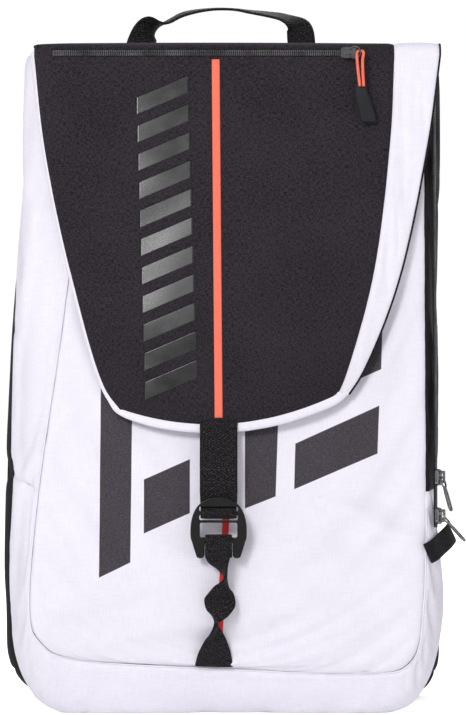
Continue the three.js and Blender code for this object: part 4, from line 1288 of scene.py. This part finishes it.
def grip():
    """The flap pull's rubber grip: a flat bar that leans to the right below its collar."""
    rows = 40
    sides = [[(-4.4, 0), (-4.2, -5), (-4.0, -10), (-1.6, -19), (0.4, -28)],
             [(4.4, 0), (5.6, -5), (7.6, -10), (10.4, -19), (12.4, -28)]]
    v = np.linspace(0, 1, rows)
    left, right = (spline([(GRIP_X + x, GRIP_TOP + z) for x, z in side])(v) for side in sides)
    flat, tall = superellipse(28, 0.35, 0.45)
    rings = []
    for k, v in enumerate(np.linspace(0, 1, rows)):
        mid, half = (left[k] + right[k]) / 2, (right[k][0] - left[k][0]) / 2
        end = math.sqrt(min(1, max(0.1, min(v, 1 - v) / 0.04)))
        ridge = 1 + 0.18 * math.exp(-((v - 0.36) / 0.03) ** 2) - 0.1 * math.exp(-((v - 0.30) / 0.02) ** 2)
        wide, deep = flat * half * (0.85 + 0.15 * end), tall * 1.9 * end * ridge
        rings.append(np.stack([mid[0] + wide, mid_y + deep, np.full(28, mid[1])], 1))
    finish_piece(swept("flap_zip_grip_rubber", rings), "flap_pull", RUBBER, "flap_zip_grip")


grip()

tab = spline([(160.8, -99.6, 128), (166, -96, 130.5), (172, -87, 135), (178, -79, 140), (181, -72, 143)])
web("side_tab_web", tab(np.linspace(0, 1, 40)), 16.6, (-0.35, 0, 1), 2.0, "pack", "side_tab")

# ---------------------------------------------------------------- closure strap and hook
# The strap's way through the buckle and back up: [y, z] from the hook's middle
THROUGH_HOOK = [(3, 46), (4.8, 28), (4.8, 19), (3, 15.4), (0, 14.6), (-2.4, 13.8), (-3.3, 11.3), (-2.4, 8.8),
                (0, 8), (2.5, 7.4), (5.6, 9), (7.2, 17), (7.2, 34), (5.6, 46)]
hem_y = float(flap_y(HOOK_X, 232, 10.4))
strap = [(HOOK_X, hem_y, 232), (HOOK_X, hem_y - 2, 218)]
strap += [(HOOK_X, HOOK_Y + y, HOOK_Z + z) for y, z in THROUGH_HOOK]
strap = spline(strap)(np.linspace(0, 1, 240))
strap_width = np.interp(np.linspace(0, 1, 240), [0, 0.2, 0.3, 1], [29.4, 29.4, 28.2, 28.2])
web("closure_strap_web", strap, strap_width, (1, 0, 0), 1.3, "closure_strap", "closure_strap", columns=13)
front_run = strap[(strap[:, 2] > 178) & (np.arange(240) < 90)]
for height in (184.5, 194.5):
    y = float(np.interp(-height, -front_run[:, 2], front_run[:, 1]))
    row = straight((HOOK_X - 13, y - 0.95, height), (HOOK_X + 13, y - 0.95, height), 12)
    stitches(f"strap_stitch_{int(height)}", row, (0, -1, 0), "closure_strap", lift=0.1)


HOOK_LOWER = [(17, -23.0), (15.5, -23.75), (13, -23.5), (11.8, -22), (11.8, -12.2), (11.2, -11.6),
              (-8.6, -11.6), (-11.6, -12.0), (-11.6, -14.2), (-11.8, -15), (-11.8, -22), (-13, -23.5),
              (-15.5, -23.75), (-17, -23)]
HOOK_OPENINGS = ((-15, 15, 12.6, 16.4), (-15, 15, 5.8, 10), (-14.5, 14.5, -7.6, 3.9))
HOOK_SIDE = np.array([(-21.75, -8), (-22.75, 4), (-20.75, 23.75), (0, 23.75)])
HOOK_BEVEL = 0.55


def hook_outline():
    """The buckle's outline in [x, z]: a cubic curve up its left side, its mirror, and two prongs below."""
    t = np.linspace(0, 1, 40)[:, None]
    q = 1 - t
    a, b, c, d = HOOK_SIDE
    left = q**3 * a + 3 * q * q * t * b + 3 * q * t * t * c + t**3 * d
    right = left[-2::-1] * [-1, 1]
    return np.vstack([left, right, HOOK_LOWER]) * [1 - HOOK_BEVEL / 22, 1 - HOOK_BEVEL / 24]


def cut_corners(points, soft=1.2):
    """The same outline with two points beside each corner instead of the corner."""
    made = []
    for k, p in enumerate(points):
        for q in (points[k - 1], points[(k + 1) % len(points)]):
            d = np.array(q, float) - p
            length = np.linalg.norm(d)
            made.append(tuple(p + d / length * min(soft, length * 0.4)))
    return made


def hook():
    """The buckle: its outline with its openings, as a bevelled flat curve made solid."""
    data = bpy.data.curves.new("hook_outline", "CURVE")
    data.dimensions, data.fill_mode = "2D", "BOTH"
    rings = [hook_outline()]
    for x0, x1, z0, z1 in HOOK_OPENINGS:
        x0, x1 = x0 - HOOK_BEVEL, x1 + HOOK_BEVEL
        z0, z1 = z0 - HOOK_BEVEL, z1 + HOOK_BEVEL
        rings.append(cut_corners([(x0, z0), (x1, z0), (x1, z1), (x0, z1)]))
    for points in rings:
        part = data.splines.new("POLY")
        part.points.add(len(points) - 1)
        for made, (px, pz) in zip(part.points, points):
            made.co = (px * MM, pz * MM, 0, 1)
        part.use_cyclic_u = True
    data.extrude, data.bevel_depth, data.bevel_resolution = 0.00165, HOOK_BEVEL * MM, 2
    holder = bpy.data.objects.new("hook_holder", data)
    scene.collection.objects.link(holder)
    graph = bpy.context.evaluated_depsgraph_get()
    mesh = bpy.data.meshes.new_from_object(holder.evaluated_get(graph))
    place = Matrix.Translation(Vector((HOOK_X, HOOK_Y, HOOK_Z)) * MM)
    mesh.transform(place @ Matrix.Rotation(math.pi / 2, 4, "X"))
    bpy.data.objects.remove(holder)
    made = bpy.data.objects.new("closure_hook_plastic", mesh)
    scene.collection.objects.link(made)
    weld = made.modifiers.new("weld", "WELD")
    weld.merge_threshold = 0.00002
    finish_piece(made, "closure_hook", PLASTIC, "closure_hook")


hook()

# ---------------------------------------------------------------- floor and light
floor_mesh = bpy.data.meshes.new("floor")
floor_mesh.from_pydata([(-6, -6, 0), (6, -6, 0), (6, 6, 0), (-6, 6, 0)], [], [(0, 1, 2, 3)])
floor = bpy.data.objects.new("floor", floor_mesh)
scene.collection.objects.link(floor)
floor_look = Look("floor", (0.9, 0.9, 0.9), 0.9)
floor_look.shader.inputs["Emission Color"].default_value = (1, 1, 1, 1)
lens_ray = floor_look.node("LightPath").outputs["Is Camera Ray"]
floor_look.set(Emission_Strength=floor_look.math("MULTIPLY_ADD", lens_ray, 0.5, 0.2))
floor_mesh.materials.append(floor_look.made)
floor.location.z = -0.0005

world = bpy.data.worlds.new("studio")
world.use_nodes = True
sky = world.node_tree.nodes["Background"]
sky.inputs[0].default_value = (0.97, 0.97, 1.0, 1)
seen = world.node_tree.nodes.new("ShaderNodeLightPath")
level = world.node_tree.nodes.new("ShaderNodeMapRange")
level.inputs["To Min"].default_value, level.inputs["To Max"].default_value = 0.43, 1.05
world.node_tree.links.new(seen.outputs["Is Camera Ray"], level.inputs["Value"])
world.node_tree.links.new(level.outputs[0], sky.inputs[1])
scene.world = world


def area(name, place, target, size, watts, color=(1, 1, 1)):
    light = bpy.data.objects.new(name, bpy.data.lights.new(name, "AREA"))
    light.data.energy, light.data.size, light.data.color = watts, size, color
    light.location = place
    light.rotation_mode = "QUATERNION"
    light.rotation_quaternion = (Vector(target) - Vector(place)).to_track_quat("-Z", "Y")
    scene.collection.objects.link(light)


area("key", (-1.1, -2.7, 1.8), (0, 0, 0.25), 0.9, 56)
area("fill", (1.7, -2.2, 0.7), (0, 0, 0.2), 1.6, 6, (0.96, 0.97, 1.0))
area("back", (0.4, 1.9, 1.6), (0, 0, 0.3), 1.5, 26)
area("gloss_card", (-0.38, -2.48, 1.32), (-0.04, -0.08, 0.4), 0.32, 1.1, (1, 0.94, 1))  # shines on the bars
scene.view_settings.view_transform = "Standard"
scene.view_settings.look = "None"
